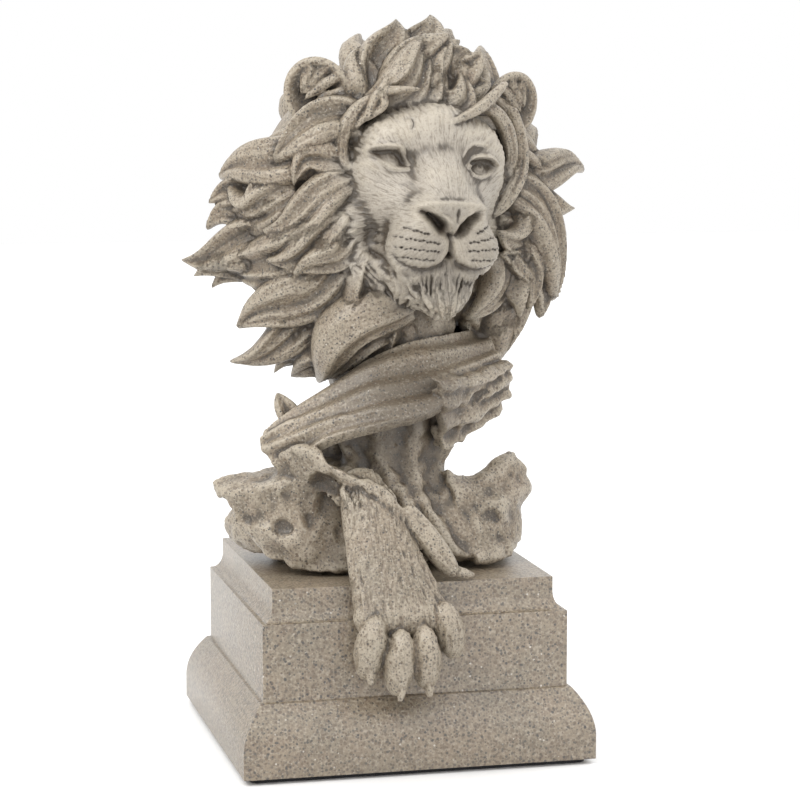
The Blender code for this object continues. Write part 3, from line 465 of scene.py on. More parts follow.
def mane(bm):
    """The dome, the locks that show in front, and a spiral of locks that covers the sides and the back."""
    bm.from_mesh(dome_mesh())
    for order, row in enumerate(FRONT_LOCKS + BACK_LOCKS):
        lock(bm, way_of(*row[0:2]), way_of(*row[2:4]), *row[4:], order=order)
        if row[5] > WIDE_LOCK:
            companion(bm, row, order + 1)
    near, far = cos(radians(FILL_FROM)), cos(radians(FILL_TO))
    for index in range(FILL_LOCKS):
        opening = degrees(acos(near + (far - near) * (index + 0.5) / FILL_LOCKS))
        clock = index * GOLDEN_ANGLE % 360
        if any(low < clock < high and opening < limit for low, high, limit in FILL_GAPS):
            continue
        start = way_of(clock, opening)
        away = (way_of(clock, opening + 1) - start).normalized()
        down = (Vector((0, 0, -1)) + start * start.z).normalized()
        keep = 1 - 0.8 * min(max((opening - 70) / 60, 0), 1)
        end = (start + (away * keep + down * (1 - keep)).normalized() * FILL_REACH).normalized()
        lift, bow, roll = 6 + 3 * (index % 3), 8 * ((index % 3) - 1), 0.35 * (1 - 2 * (index % 2))
        lock(bm, start, end, lift, FILL_WIDTH, bow, roll, FILL_SWELL, index)
    beard(bm)
    for points, width, thick in ROLLS:
        row = [HEAD @ Vector(point) for point in points]
        blade(bm, lambda share: through(row, share), lambda share: HEAD.to_3x3() @ Vector((0, -1, 0.2)),
              width / 2, thick / 2, scoop=0.2, ribs=3, root=0.5, widest=0.5, blunt=0.6)


# Rolled edges of the mane round the face, in the head's frame: points from root to tip, width, thickness
ROLLS = [
    ([(-24, -14, 27), (-32, -10, 21), (-37, -8, 12), (-38, -8, 2), (-34, -10, -7)], 6, 8),
    ([(-33, -9, 12), (-29, -14, 19), (-26, -17, 27), (-18, -19, 29), (-8, -20, 30)], 4, 6),
    ([(-22, -15, 34), (-25, -17, 28), (-24, -18, 22), (-30, -13, 15)], 3.6, 6),
    ([(33, -8, 35), (25, -15, 29), (16, -22, 23), (3, -28, 17)], 5, 7),
    ([(14, -20, 24), (25, -16, 23), (34, -10, 15), (38.5, -6, 4), (37, -6, -8)], 6.5, 8),
    ([(39, 0, 26), (43, -2, 12), (43, -4, -2), (37, -8, -14), (31, -10, -22)], 8, 9),
]


def beard(bm):
    """Tufts that hang from the chin and close in to its point."""
    for index in range(BEARD_TUFTS):
        aside = -1 + 2 * (index + 0.5) / BEARD_TUFTS
        wave = sin(index * 2.1)
        root = Vector((16 * aside - 1, -40 + 7 * aside**2, -46.5 + 1.5 * wave))
        middle = Vector((11 * aside + 1, -41 + 6 * aside**2, -54 + wave))
        tip = Vector((7.5 * aside + 4 + wave, -37 + 3 * aside**2, -64 + 6 * aside**2 + 1.5 * wave))
        row = [HEAD @ point for point in (root, middle, tip)]
        outward = HEAD.to_3x3() @ Vector((0.6 * aside, -1, -0.3))
        spine_blade(bm, row, 4.2, 4.2, outward, scoop=0.0, ribs=2, blunt=1.0)


def dome_mesh():
    """The mane's dome, pressed in where the face lies in front of it."""
    bm = bmesh.new()
    bmesh.ops.create_icosphere(bm, subdivisions=5, radius=1)
    for vert in bm.verts:
        vert.co.y += FACE_SINK * min(max((-vert.co.y - 0.66) / 0.2, 0), 1)
    bmesh.ops.scale(bm, vec=MANE_RADII, verts=bm.verts)
    bmesh.ops.translate(bm, vec=MANE_CENTRE, verts=bm.verts)
    bmesh.ops.transform(bm, matrix=HEAD, verts=bm.verts)
    return mesh_of("dome", bm)


# (centre, radii, turn in degrees) in the head's frame
HEAD_CLAY = lumps([
    ((0, 0, 3), (34, 27, 24)),
    ((0, -13, 12), (21, 12, 11)),
    ((0, -20, 11), (9, 9, 12)),
    ((0, -20, 2), (13, 10, 11)),
    ((0, -29, -5), (11, 12, 9), (35, 0, 0)),
    ((0, -36, -12), (11, 11, 7.5), (35, 0, 0)),
    ((0, -41, -19), (11, 8, 5)),
    ((0, -42, -26), (6, 6.5, 7)),
    ((0, -26, -36), (18, 18, 12)),
    ((-2, -32.5, -47), (15, 9.5, 6.5)),
    ((0.5, -31.5, -53), (11, 8.5, 6.5)),
    ((4, -29, -59.5), (6.5, 6, 6)),
    ((-1, -18, -50), (17, 14, 12)),
    ((-36, 4, -8), (9, 13, 18)),
    ((-31, -1, -27), (10, 14, 14)),
    ((-23, -3, -45), (12, 13, 13)),
    ((34, 4, -8), (8, 12, 17)),
    ((27, 0, -30), (9, 13, 14)),
])
HEAD_CLAY_PAIRS = both_sides([
    ((15, -17, 11), (12, 9, 6), (0, 0, 10)),
    ((20, -17, 2), (11, 8.5, 9), (0, 0, -20)),
    ((19, -9, -7), (14, 16, 12)),
    ((15, -9, -18), (14, 17, 14)),
    ((12, -21, -15), (12, 13, 13)),
    ((8.5, -31, -23), (10.5, 13, 11)),
    ((10, -13, -38), (12, 16, 13)),
    ((11.5, -36, -35), (12.5, 13.5, 11.5)),
    ((9.5, -42.5, -19), (4.5, 5, 4)),
])
HEAD_HOLLOWS = lumps([((1, -53, -43.5), (7, 9, 2.4))])

# Lines pressed into the face, or raised where the depth is negative: (across, up) points, width, depth
LEFT_EYE = [
    ([(-27.5, 2.4), (-23, 2.8), (-18, 2.0), (-16.5, 0.0)], 2.8, 3.9),
    ([(-22, 1.0), (-20.5, 0.8)], 2.6, -1.9),
    ([(-31.2, 3.2), (-28.9, 4.9), (-23.3, 6.0), (-17.2, 5.8), (-14.6, -0.7)], 0.95, -2.2),
    ([(-29.7, 1.8), (-26.9, 0.4), (-23.2, -2.6), (-19.9, -3.8), (-15.0, -2.8)], 0.85, -1.7),
    ([(-13.6, 3.5), (-12.6, -1), (-13.2, -6)], 2.2, 1.0),
]
RIGHT_EYE = [
    ([(13.4, 0.2), (17.2, 0.2), (21.6, 0.6)], 2.2, 2.4),
    ([(16.6, -0.6), (18.2, -0.5)], 2.3, -1.7),
    ([(11.0, -0.6), (12.4, 1.8), (15.2, 3.6), (20.6, 4.0), (24.0, 2.6), (25.4, 0.4)], 0.85, -2.2),
    ([(11.0, -0.8), (12.6, -3.6), (14.9, -5.1), (19.7, -4.6), (22.8, -2.4)], 0.75, -1.5),
    ([(8.8, 2.5), (8.2, -2), (9.2, -7)], 2.0, 0.9),
]
NOSE_LINES = [
    ([(-13.4, -19.8), (-9.7, -22.4), (-4.6, -25.9), (-1.2, -29.0)], 1.6, 3.9),
    ([(13.0, -19.0), (9.6, -22.1), (5.8, -25.5), (2.6, -29.0)], 1.6, 3.9),
    ([(-15.6, -18.6), (-10.7, -16.5), (-2.8, -16.0), (6.5, -15.8), (14.6, -17.2)], 1.2, -1.5),
    ([(0.1, -29.7), (0.4, -33), (0.6, -38.0)], 1.2, 3.2),
    ([(0.3, -38), (-3.2, -42.6), (-11.1, -45.0), (-18.6, -43.2), (-24, -38.8)], 1.4, 2.8),
    ([(0.6, -38), (4.2, -41.6), (10.7, -44.0), (17.9, -42.6), (25, -38.6)], 1.4, 2.8),
    ([(0, 24), (0, 8)], 4.0, 1.0),
    ([(-11.5, -20.4), (-6.6, -23.2), (-4.4, -26.6)], 2.0, 3.2),
    ([(11.0, -19.8), (6.8, -22.8), (5.0, -26.2)], 2.0, 3.2),
    ([(-5, -20.6), (5.5, -20.2)], 1.5, 0.8),
]


def line_distance(across, up, line):
    """The distance of each point from a broken line, seen from the front."""
    nearest = np.full(len(across), FAR_AWAY)
    for (x0, z0), (x1, z1) in zip(line, line[1:]):
        run, rise = x1 - x0, z1 - z0
        share = np.clip(((across - x0) * run + (up - z0) * rise) / (run * run + rise * rise), 0, 1)
        nearest = np.minimum(nearest, np.hypot(across - x0 - share * run, up - z0 - share * rise))
    return nearest


def rounded(line, rounds=2):
    """A broken line with its corners cut, twice over."""
    for _ in range(rounds):
        cut = [line[0]]
        for (x0, z0), (x1, z1) in zip(line, line[1:]):
            cut += [(x0 + share * (x1 - x0), z0 + share * (z1 - z0)) for share in (0.25, 0.75)]
        line = cut + [line[-1]]
    return line


def melted_face():
    """The face's clay melted together and set in its place."""
    mesh = melted(HEAD_CLAY + HEAD_CLAY_PAIRS, HEAD_HOLLOWS, FACE_MELT)
    mesh.transform(HEAD)
    return mesh


# (centre, radius, swing, lean) of each ear
EARS = [((-45.5, 6, 25), 14.5, -25, -28), ((43, 8, 26), 13.5, 20, 30)]
EAR_TUFTS = 6


def ears(bm):
    """Round cups: a thick bowl with its mouth forwards and outwards."""
    for centre, radius, swing, lean in EARS:
        cup = bmesh.new()
        bmesh.ops.create_icosphere(cup, subdivisions=4, radius=1)
        for vert in cup.verts:
            front = -vert.co.y
            if front > 0:
                away = sqrt(vert.co.x**2 + vert.co.z**2)
                vert.co.y = 0.7 * (1 - min(away / 0.84, 1) ** 3) - 0.28 * front
        bmesh.ops.scale(cup, vec=(radius, radius * 0.62, radius * 1.12), verts=cup.verts)
        pose = Matrix.Translation(centre) @ Matrix.Rotation(radians(swing), 4, "Z")
        pose = HEAD @ pose @ Matrix.Rotation(radians(lean), 4, "Y")
        bmesh.ops.transform(cup, matrix=pose, verts=cup.verts)
        bm.from_mesh(mesh_of("ear", cup))
        inner = -1 if centre[0] > 0 else 1
        for index in range(EAR_TUFTS):
            fan = radians(-75 + 150 * index / (EAR_TUFTS - 1))
            root = Vector((0.78 * inner * cos(fan), 0.06, 0.85 * sin(fan)))
            tip = Vector((-0.45 * inner, 0.0, 0.35 * sin(fan) - 0.15 + 0.1 * sin(5 * index)))
            bend = root.lerp(tip, 0.5) + Vector((0, 0.1, 0.12))
            row = [pose @ (point * radius) for point in (root, bend, tip)]
            spine_blade(bm, row, 4.6, 3.4, pose.to_3x3() @ Vector((0, -1, 0)), scoop=0.0, ribs=3, root=0.8)


def through(points, share):
    """A point on the smooth curve that passes through the given points."""
    row = [Vector(point) for point in points]
    row = [2 * row[0] - row[1]] + row + [2 * row[-1] - row[-2]]
    index = min(int(share * (len(points) - 1)), len(points) - 2)
    t = share * (len(points) - 1) - index
    a, b, c, d = row[index:index + 4]
    return 0.5 * (2 * b + (c - a) * t + (2 * a - 5 * b + 4 * c - d) * t**2 + (3 * b - a - 3 * c + d) * t**3)


def sheet(bm, rows, thick, ribs=0, depth=0.0, slant=0.0):
    """A thick skin drawn through rows of points. Ribs run along the rows."""
    skin = bmesh.new()
    along, across = SHEET_GRID
    for vert in bmesh.ops.create_grid(skin, x_segments=along, y_segments=across, size=1)["verts"]:
        share, down = (vert.co.x + 1) / 2, (vert.co.y + 1) / 2
        vert.co = through([through(row, share) for row in rows], down)
    skin.normal_update()
    if ribs:
        skin.verts.ensure_lookup_table()
        ways = [vert.normal.copy() for vert in skin.verts]
        for index, vert in enumerate(skin.verts):
            share, down = index % along / (along - 1), index // along / (across - 1)
            vert.co += ways[index] * (depth * cos(2 * pi * ribs * (down + slant * share)))
    bmesh.ops.solidify(skin, geom=skin.faces[:], thickness=thick)
    bm.from_mesh(mesh_of("sheet", skin))


def spine_blade(bm, points, width, thick, outward, **shape):
    """A straight-faced leaf along the smooth curve that the points pull."""
    blade(bm, lambda share: bezier(points, share), lambda share: Vector(outward),
          width / 2, thick / 2, **shape)


# The hollowed rock that the neck tears into
TORSO_CLAY = lumps([
    ((6, 10, 104), (24, 28, 28)),
    ((8, -1, 100), (24, 20, 20)),
    ((6, 4, 82), (28, 24, 26)),
    ((22, -18, 72), (16, 14, 15)),
    ((2, -2, 50), (22, 23, 26)),
    ((-17, -1, 50), (14, 17, 20)),
    ((-2, 14, 26), (30, 22, 26)),
    ((-4, 4, 6), (46, 36, 14)),
    ((-46, 2, 16), (22, 24, 13), (0, 0, 20)),
    ((40, 2, 10), (20, 22, 13)),
    ((22, -18, 14), (20, 18, 13), (20, 0, 0)),
    ((-30, -18, 14), (24, 16, 13)),
    ((34, -7, 74), (14, 8, 9)),
    ((45, -4, 23), (10, 10, 14), (0, 25, 0)),
])
# Each skin's rows of points, its thickness, and how many ribs run along the rows and how deep
ROCK_SKINS = [
    ([[(10, -46, 84), (31, -28, 84), (50, -9, 86)], [(14, -38, 71), (34, -22, 72), (52, -6, 76)],
      [(16, -25, 53), (30, -14, 56), (46, -6, 65)]], 6, 3.5, 1.5),
    ([[(-24, -24, 72), (-24, -22, 56), (-20, -26, 44), (-10, -36, 30), (-2, -42, 14)],
      [(-4, -32, 73), (-6, -27, 57), (-4, -29, 44), (4, -37, 29), (12, -43, 10)],
      [(14, -33, 73), (10, -27, 56), (9, -28, 43), (15, -35, 27), (26, -41, 7)],
      [(34, -24, 71), (30, -19, 56), (25, -16, 42), (28, -25, 28), (42, -33, 4)]], 6, 3, 1.7),
    ([[(20, -22, 40), (30, -18, 35), (38, -15, 35), (46, -12, 41), (53, -8, 45), (60, -5, 40)],
      [(28, -28, 14), (40, -26, 22), (48, -20, 28), (54, -14, 31), (59, -6, 31)],
      [(32, -36, 0), (41, -32, 2), (46, -26, 4), (50, -20, 7), (52, -12, 14)]], 6, 2.5, 1.0),
    ([[(-20, -10, 48), (-50, -12, 44), (-77, -9, 38)],
      [(-20, -32, 46), (-50, -31, 41), (-76, -16, 35)]], 6, 0, 0),
    ([[(-20, -34, 45), (-50, -32, 40), (-75, -18, 34)], [(-22, -34, 24), (-50, -36, 22), (-68, -22, 22)],
      [(-22, -44, 3), (-44, -38, 3), (-57, -28, 8)]], 8, 1.5, 1.0),
    ([[(-48, -26, 52), (-40, -37, 57), (-28, -46, 50), (-15, -51, 42), (-3, -55, 31), (9, -57, 19)],
      [(-48, -22, 38), (-38, -30, 40), (-24, -36, 32), (-12, -42, 26), (0, -46, 18), (10, -48, 8)]],
     5, 0, 0),
]
TORSO_HOLLOWS = lumps([
    ((-18, -46, 52), (17, 21, 9), (0, 6, 0)),
    ((40, -33, 72), (11, 9, 6), (0, -25, 20)),
    ((40, -40, 24), (13, 9, 9), (0, 30, 0)),
    ((-52, -42, 22), (6.5, 10, 6.5)),
    ((-65, -32, 24), (5, 8, 5)),
    ((-36, -46, 38), (10, 12, 8), (0, 20, 0)),
])


def roughen(mesh):
    """Weathers a surface: broad noise, sharp ridges between scooped faces, fine crust and a few pits."""
    points = vertex_array(mesh)
    normals = vertex_array(mesh, "normal")
    move = np.empty(len(points))
    for index, point in enumerate(points):
        spot = Vector(point)
        broad = noise.fractal(spot / WEATHER_GRAIN, 0.8, 2.1, 3)
        folds = abs(noise.noise(spot / (0.8 * WEATHER_GRAIN) + Vector((7, 3, 1))))
        streak = Vector((spot.x / 3.2 + spot.z / 9, spot.y / 6, spot.z / 7 - spot.x / 12))
        torn = 0.25 - abs(noise.noise(streak))
        nearest = noise.voronoi(spot / 8.0)[0][0]
        pit = max(0.0, 1 - nearest / 0.17) ** 0.5
        move[index] = WEATHER_DEPTH * (0.6 * broad + 1.2 * (0.22 - folds)) + 0.9 * torn - 0.9 * pit
    place(mesh, points + move[:, None] * normals)


def without(item, cutter, solver):
    """The item's mesh with its modifiers applied and the cutter taken away from it. Both are removed."""
    press = item.modifiers.new("cut", "BOOLEAN")
    press.operation = "DIFFERENCE"
    press.solver = solver
    press.object = cutter
    mesh = evaluated_mesh(item)
    bpy.data.objects.remove(cutter)
    return mesh


def torso_mesh():
    """The rock, its hollows and its weathering."""
    bm = balls(TORSO_CLAY)
    for rows, thick, ribs, depth in ROCK_SKINS:
        sheet(bm, rows, thick, ribs, depth)
    torso = add_object("torso", fuse(bm, smoothing=3))
    hollows = add_object("hollows", fuse(balls(TORSO_HOLLOWS), smoothing=3))
    mesh = without(torso, hollows, "MANIFOLD")
    roughen(mesh)
    return mesh


# The neck's skin that sweeps round its front to a tip at the left: rows from its top to its hem
HEM = [
    [(44, 4, 98), (26, -18, 99), (6, -25, 97), (-12, -22, 90), (-26, -19, 80), (-41, -18, 70),
     (-56, -20, 60)],
    [(50, -8, 91), (28, -28, 87), (8, -34, 82), (-12, -37, 78), (-30, -32, 69), (-46, -28, 61),
     (-58, -23, 54)],
    [(52, -12, 84), (26, -38, 76), (10, -47, 71), (-10, -50, 66), (-32, -42, 59), (-44, -33, 49),
     (-52, -27, 45)],
]


def neck(bm):
    """The torn rock, the neck's hem that sweeps round its front, and the small tip beside it."""
    bm.from_mesh(torso_mesh())
    sheet(bm, HEM, 6, ribs=2.5, depth=1.1, slant=0.35)
    spine_blade(bm, [(-38, -16, 60), (-45, -14, 66), (-48, -10, 75)], 10, 7, (0, -1, 0))


def limb(points, start_radii, end_radii, turn, count):
    """Lumps strung along a curve, from one size to another."""
    strung = []
    for index in range(count):
        share = index / (count - 1)
        radii = [a + (b - a) * share for a, b in zip(start_radii, end_radii)]
        strung.append((tuple(bezier(points, share)), tuple(radii), turn))
    return strung


# The forearm and paw that hang over the plinth's front edge, which lies at EDGE
EDGE = -CAP_HALF_DEPTH / FIGURE_SCALE
ARM_LINE = [
    (-18, EDGE + 20, 38), (-17, EDGE + 10, 30), (-14, EDGE + 2, 16), (-10, EDGE - 6, 0),
    (-8, EDGE - 13, -12)]
ARM_CLAY = limb(ARM_LINE, (9, 8, 8), (20.5, 9, 10), (35, 0, 0), 18)
TOE_CLAY = [
    ((-23, EDGE - 19, -22), (6.5, 8, 14), (12, 10, 0)),
    ((-12, EDGE - 23, -28), (6.2, 8.5, 14.5), (12, 3, 0)),
    ((-0.5, EDGE - 22, -27), (6, 8.5, 14), (12, -4, 0)),
    ((10.5, EDGE - 17, -17), (6, 8, 13), (12, -14, 0)),
    ((-23.5, EDGE - 22.5, -34), (1.7, 2.4, 3.2), (15, 8, 0)),
    ((-12, EDGE - 26.5, -40.5), (1.7, 2.4, 3.2), (15, 3, 0)),
    ((0, EDGE - 25.5, -39.5), (1.7, 2.4, 3.2), (15, -3, 0)),
]
ARM_TUFTS = 12
DEWCLAW = [(-3, EDGE + 10, 30), (6, EDGE + 2, 20), (14, EDGE, 6), (18, EDGE, 2)]


def paw(bm):
    """The forearm and paw with tufts at its torn top, and the dewclaw beside it."""
    bm.from_mesh(melted(ARM_CLAY + TOE_CLAY, [], ARM_MELT))
    spine_blade(bm, DEWCLAW, 10, 10, (0, -1, 0.5), scoop=0.0, ribs=6, root=0.8, blunt=0.6)
    spine_blade(bm, [(14, EDGE + 1, 6), (20, EDGE - 2, 3), (26, EDGE, 2)], 4.5, 4.5, (0, -1, 0.5), scoop=0.0)
    for index in range(ARM_TUFTS):
        root = bezier(ARM_LINE, 0.02 + 0.16 * index / ARM_TUFTS) + Vector((9 * sin(index * 2.3), -3, 3))
        tip = root + Vector((3 * sin(index * 1.3), -5, -8))
        middle = (root + tip) / 2 + Vector((0, -2, 0))
        spine_blade(bm, [root, middle, tip], 5, 3, (0, -1, 0.4), scoop=0.0, ribs=2)


def fuse(bm, smoothing):
    """Joins clay that overlaps into one skin and softens its joints."""
    item = add_object("clay", mesh_of("clay", bm))
    skin = item.modifiers.new("skin", "REMESH")
    skin.mode = "VOXEL"
    skin.voxel_size = CLAY_VOXEL
    soften = item.modifiers.new("soften", "SMOOTH")
    soften.factor = 0.5
    soften.iterations = smoothing
    return evaluated_mesh(item)


def one_piece(mesh):
    """Drops the crumbs and closed pockets that clay leaves, and keeps the piece with the most of it."""
    bm = bmesh.new()
    bm.from_mesh(mesh)
    bm.verts.ensure_lookup_table()
    unseen = set(bm.verts)
    pieces = []
    while unseen:
        queue = [unseen.pop()]
        piece = set(queue)
        while queue:
            for edge in queue.pop().link_edges:
                for vert in edge.verts:
                    if vert in unseen:
                        unseen.discard(vert)
                        piece.add(vert)
                        queue.append(vert)
        pieces.append(piece)
    largest = max(pieces, key=len)
    bmesh.ops.delete(bm, geom=[vert for vert in bm.verts if vert not in largest], context="VERTS")
    bm.to_mesh(mesh)
    bm.free()
    return mesh


# Carving: fine relief on the joined clay


def figure_points(mesh):
    """The finished mesh's points, back in figure units."""
    return (vertex_array(mesh) - np.array((0, 0, PLINTH_TOP))) / FIGURE_SCALE


def head_points(points):
    """Points of the figure in the head's frame."""
    return (points - np.array(HEAD_CENTRE)) @ np.array(HEAD.to_3x3())


def skin_tree(mesh, move=Matrix.Identity(4)):
    """The mesh's skin, moved, to measure gaps from and to cast rays at."""
    return BVHTree.FromPolygons(
        [move @ vertex.co for vertex in mesh.vertices], [tuple(face.vertices) for face in mesh.polygons])


def face_share(skin, points, reach):
    """How much each point, in the head's frame, belongs to the face: 0 from reach outside its bare skin."""
    share = np.zeros(len(points))
    near = (np.abs(points[:, 0]) < FACE_HALF_WIDTH) & (points[:, 1] < FACE_BACK)
    near &= np.abs(points[:, 2] - FACE_MIDDLE) < FACE_HALF_HEIGHT
    for index in np.flatnonzero(near):
        point = Vector(points[index])
        spot, normal, _, _ = skin.find_nearest(point, reach + SKIN_SEARCH)
        if spot:
            share[index] = min(max((reach - (point - spot).dot(normal)) / SHARE_FADE, 0), 1)
    return share


# What only the fine carving has. Irises: (across, up) and radius. Lines: (across, up) points, width, depth
IRISES = [((-21.2, 1.2), 2.2), ((17.6, -0.4), 2.1)]
FINE_LINES = [
    ([(-9.6, -21.7), (-5.8, -23.2), (-3.8, -25.2)], 1.5, 3.6),
    ([(11.4, -20.7), (8.6, -22.1), (6.8, -24.1)], 1.5, 3.6),
    ([(-12.4, -19.7), (-7.0, -20.5), (-2.8, -22.0), (-1.6, -24.6)], 0.8, -0.9),
    ([(13.0, -18.7), (8.6, -19.7), (5.2, -21.2), (4.8, -23.6)], 0.8, -0.9),
    ([(1.6, -18.6), (1.7, -23.4)], 0.7, 0.9),
    ([(8.6, 3.4), (12.0, 8.4), (16.4, 8.9), (20.4, 8.2)], 0.7, -0.8),
    ([(-15.4, 17.2), (-13.6, 18.2), (-12.2, 16.4), (-13.4, 13.6)], 0.6, 0.8),
    ([(-14.5, 16.5), (-13.8, 15.2)], 0.6, -0.6),
    ([(-31, -6), (-24, -9), (-18, -10)], 1.6, 0.5),
]
# Rows of whisker pits: the ends of each row and how many pits it has
WHISKER_ROWS = [
    ((-19.5, -26.6), (-9.8, -29.0), 7),
    ((-23.2, -30.6), (-5.2, -32.4), 11),
    ((-23.4, -35.0), (-4.8, -35.8), 11),
    ((-20.6, -39.2), (-6.6, -39.6), 9),
    ((10.8, -27.6), (19.8, -23.6), 7),
    ((7.2, -31.6), (23.2, -28.2), 10),
    ((6.8, -35.0), (22.6, -33.4), 9),
    ((8.6, -38.8), (20.0, -38.4), 7),
]
# Where the stone is darkened: painted shade on the neck under the chin, and dark wash with painted
# shade on the face along (across, up) points with a width and a strength
# How dark the painted shade on the neck under the chin is
NECK_SHADE = 0.8
WASHES_AND_SHADE = [
    ([(-28, 2.2), (-22, 1.4), (-16.5, -0.6)], 2.6, 0.75),
    ([(13.6, -0.2), (17.6, -0.4), (22.0, -0.2)], 3.2, 0.65),
    ([(-9.2, -21.6), (-5.6, -23.4), (-3.4, -26.0)], 1.6, 0.5),
    ([(11.2, -20.8), (8.4, -22.4), (6.4, -24.8)], 1.6, 0.5),
    ([(-18, -34), (-10, -34)], 9.0, 0.42),
    ([(10, -33), (18, -33)], 8.0, 0.34),
    ([(-8, -50), (8, -50)], 7.0, 0.40),
    ([(0.3, -29.0), (0.6, -38.0)], 0.8, 0.8),
    ([(-16, -45.5), (0, -41.5), (16, -44.5)], 2.6, 0.6),
]


# Half the width and the height of a whisker pit, and the depth and half width of each row's furrow
PIT_WIDTH, PIT_HEIGHT = 0.55, 0.36
FURROW_DEPTH, FURROW_WIDTH = 0.12, 0.9


def pit_depth(points):
    """Whisker pits as shares of their depth: short dashes in rows, each row in a shallow furrow."""
    depth = np.zeros(len(points))
    for start, end, count in WHISKER_ROWS:
        furrow = line_distance(points[:, 0], points[:, 2], [start, end])
        depth += FURROW_DEPTH * np.exp(-(furrow / FURROW_WIDTH) ** 2)
        for index in range(count):
            share = (index + 0.5) / count
            x = start[0] + (end[0] - start[0]) * share
            z = start[1] + (end[1] - start[1]) * share + 0.25 * sin(index * 2.4)
            depth += np.exp(-((points[:, 0] - x) / PIT_WIDTH) ** 2 - ((points[:, 2] - z) / PIT_HEIGHT) ** 2)
    return depth


def strands(points, origin, grain, length, seed):
    """Fur: noise drawn out along lines that radiate from an origin, in the plane of the face."""
    run = points[:, 0] - origin[0]
    rise = points[:, 2] - origin[1]
    angle = np.arctan2(run, rise)
    away = np.hypot(run, rise)
    return np.array([
        noise.noise(Vector((a * 26 / grain + 0.4 * sin(r / 4), r / length, y / (6 * grain) + seed)))
        for a, r, y in zip(angle, away, points[:, 1])
    ])


def carve_face(mesh, skin, sizes):
    """Presses eyes, nose, mouth, whisker pits, fur and beard into the face's skin."""
    mesh.transform(HEAD.inverted())
    points, normals = vertex_array(mesh), vertex_array(mesh, "normal")
    share = face_share(skin, points, CARVING_REACH)
    mine = np.flatnonzero(share > 0)
    spots, ways, share = points[mine], normals[mine], share[mine]
    across, _, up = spots.T
    front = np.clip(-ways[:, 1] * 3, 0, 1)
    move = np.zeros(len(mine))
    for line, width, depth in LEFT_EYE + RIGHT_EYE + NOSE_LINES + FINE_LINES:
        move += depth * np.exp(-(line_distance(across, up, rounded(line)) / width) ** 2)
    for (x, z), radius in IRISES:
        gap = np.hypot(across - x, up - z)
        move += 0.5 * np.exp(-((gap - radius) / 0.4) ** 2)
        move += 0.7 * np.exp(-(gap / 0.8) ** 2)
    move += sizes.whisker_depth / FIGURE_SCALE * pit_depth(spots)
    bearded = np.clip((-43 - up) / 4, 0, 1)
    away = np.clip((np.hypot(across, up + 10) - 24) / 12, 0, 1)
    smooth = np.exp(-(np.hypot(across, up + 22) / 9) ** 2)
    for (x, z), _ in IRISES:
        smooth = np.maximum(smooth, np.exp(-(np.hypot((across - x) / 1.6, up - z) / 4) ** 4))
    fur = strands(spots, (0, -22), 0.8, 4.5, 3.0)
    fur = fur * (0.4 + 0.7 * away) * (1 - smooth) * (1 - bearded)
    fur *= sizes.fur_depth / FIGURE_SCALE
    tufts = (0.28 - np.abs(strands(spots, (4, -92), 1.15, 14.0, 9.0)) ** 0.8) * bearded
    tufts *= sizes.beard_depth / FIGURE_SCALE
    way = ways * 0.5 + np.array((0, -0.5, 0))
    pressed = way * (front * share * move)[:, None]
    points[mine] = spots - pressed + ways * (share * (fur + tufts))[:, None]
    place(mesh, points)
    mesh.transform(HEAD)


def arm_share(points):
    """How much each point, in figure units, belongs to the forearm and paw."""
    share = np.zeros(len(points))
    near = (points[:, 2] < ARM_TOP) & (points[:, 1] < ARM_BACK)
    near &= np.abs(points[:, 0] - ARM_MIDDLE) < ARM_HALF_WIDTH
    gap = np.abs(distances(points[near], ARM_CLAY + TOE_CLAY, ARM_MELT))
    share[near] = np.clip(2.2 - gap / SHARE_FADE, 0, 1)
    return share


def carve_fur(mesh, depth):
    """Short fur on the forearm and paw: noise drawn out along the limb and parted over the toes."""
    points, normals = vertex_array(mesh), vertex_array(mesh, "normal")
    share = arm_share(points)
    for index in np.flatnonzero(share > 0):
        x, y, z = points[index]
        along = z / 6.0 + y / 14.0
        across = (x + 9) / (1 - 0.008 * z) + 0.9 * sin(z / 6 + x / 4)
        broad = noise.noise(Vector((across / 2.4, along / 2, y / 30)))
        fine = 0.3 - 1.5 * abs(noise.noise(Vector((across / 1.7, along, y / 20 + 7))))
        points[index] += normals[index] * (share[index] * depth / FIGURE_SCALE * (0.4 * broad + 1.2 * fine))
    place(mesh, points)


def finer_skin(mesh, skin):
    """Splits the triangles of the face and the paw once, so that they hold their finest lines."""
    points = vertex_array(mesh)
    local = head_points(points)
    share = face_share(skin, local, CARVING_REACH)
    share *= (local[:, 1] < -4) & (np.abs(local[:, 0]) < 42)
    share = np.maximum(share, arm_share(points))
    bm = bmesh.new()
    bm.from_mesh(mesh)
    bm.verts.ensure_lookup_table()
    inside = {bm.verts[index] for index in np.flatnonzero(share > 0.5)}
    edges = [edge for edge in bm.edges if edge.verts[0] in inside and edge.verts[1] in inside]
    bmesh.ops.subdivide_edges(bm, edges=edges, cuts=1, use_grid_fill=True, smooth=0.6)
    bm.to_mesh(mesh)
    bm.free()


def neighbour_means(values, pairs, rounds):
    """Each vertex's value averaged with its neighbours', over and over."""
    count = np.bincount(pairs.ravel(), minlength=len(values))[:, None] + 1e-9
    for _ in range(rounds):
        total = np.zeros_like(values)
        for axis in range(values.shape[1]):
            total[:, axis] = np.bincount(pairs[:, 0], values[pairs[:, 1], axis], len(values))
            total[:, axis] += np.bincount(pairs[:, 1], values[pairs[:, 0], axis], len(values))
        values = 0.4 * values + 0.6 * total / count
    return values


def softened(values, pairs, rounds):
    """The same for one value at each vertex."""
    return neighbour_means(values[:, None], pairs, rounds)[:, 0]


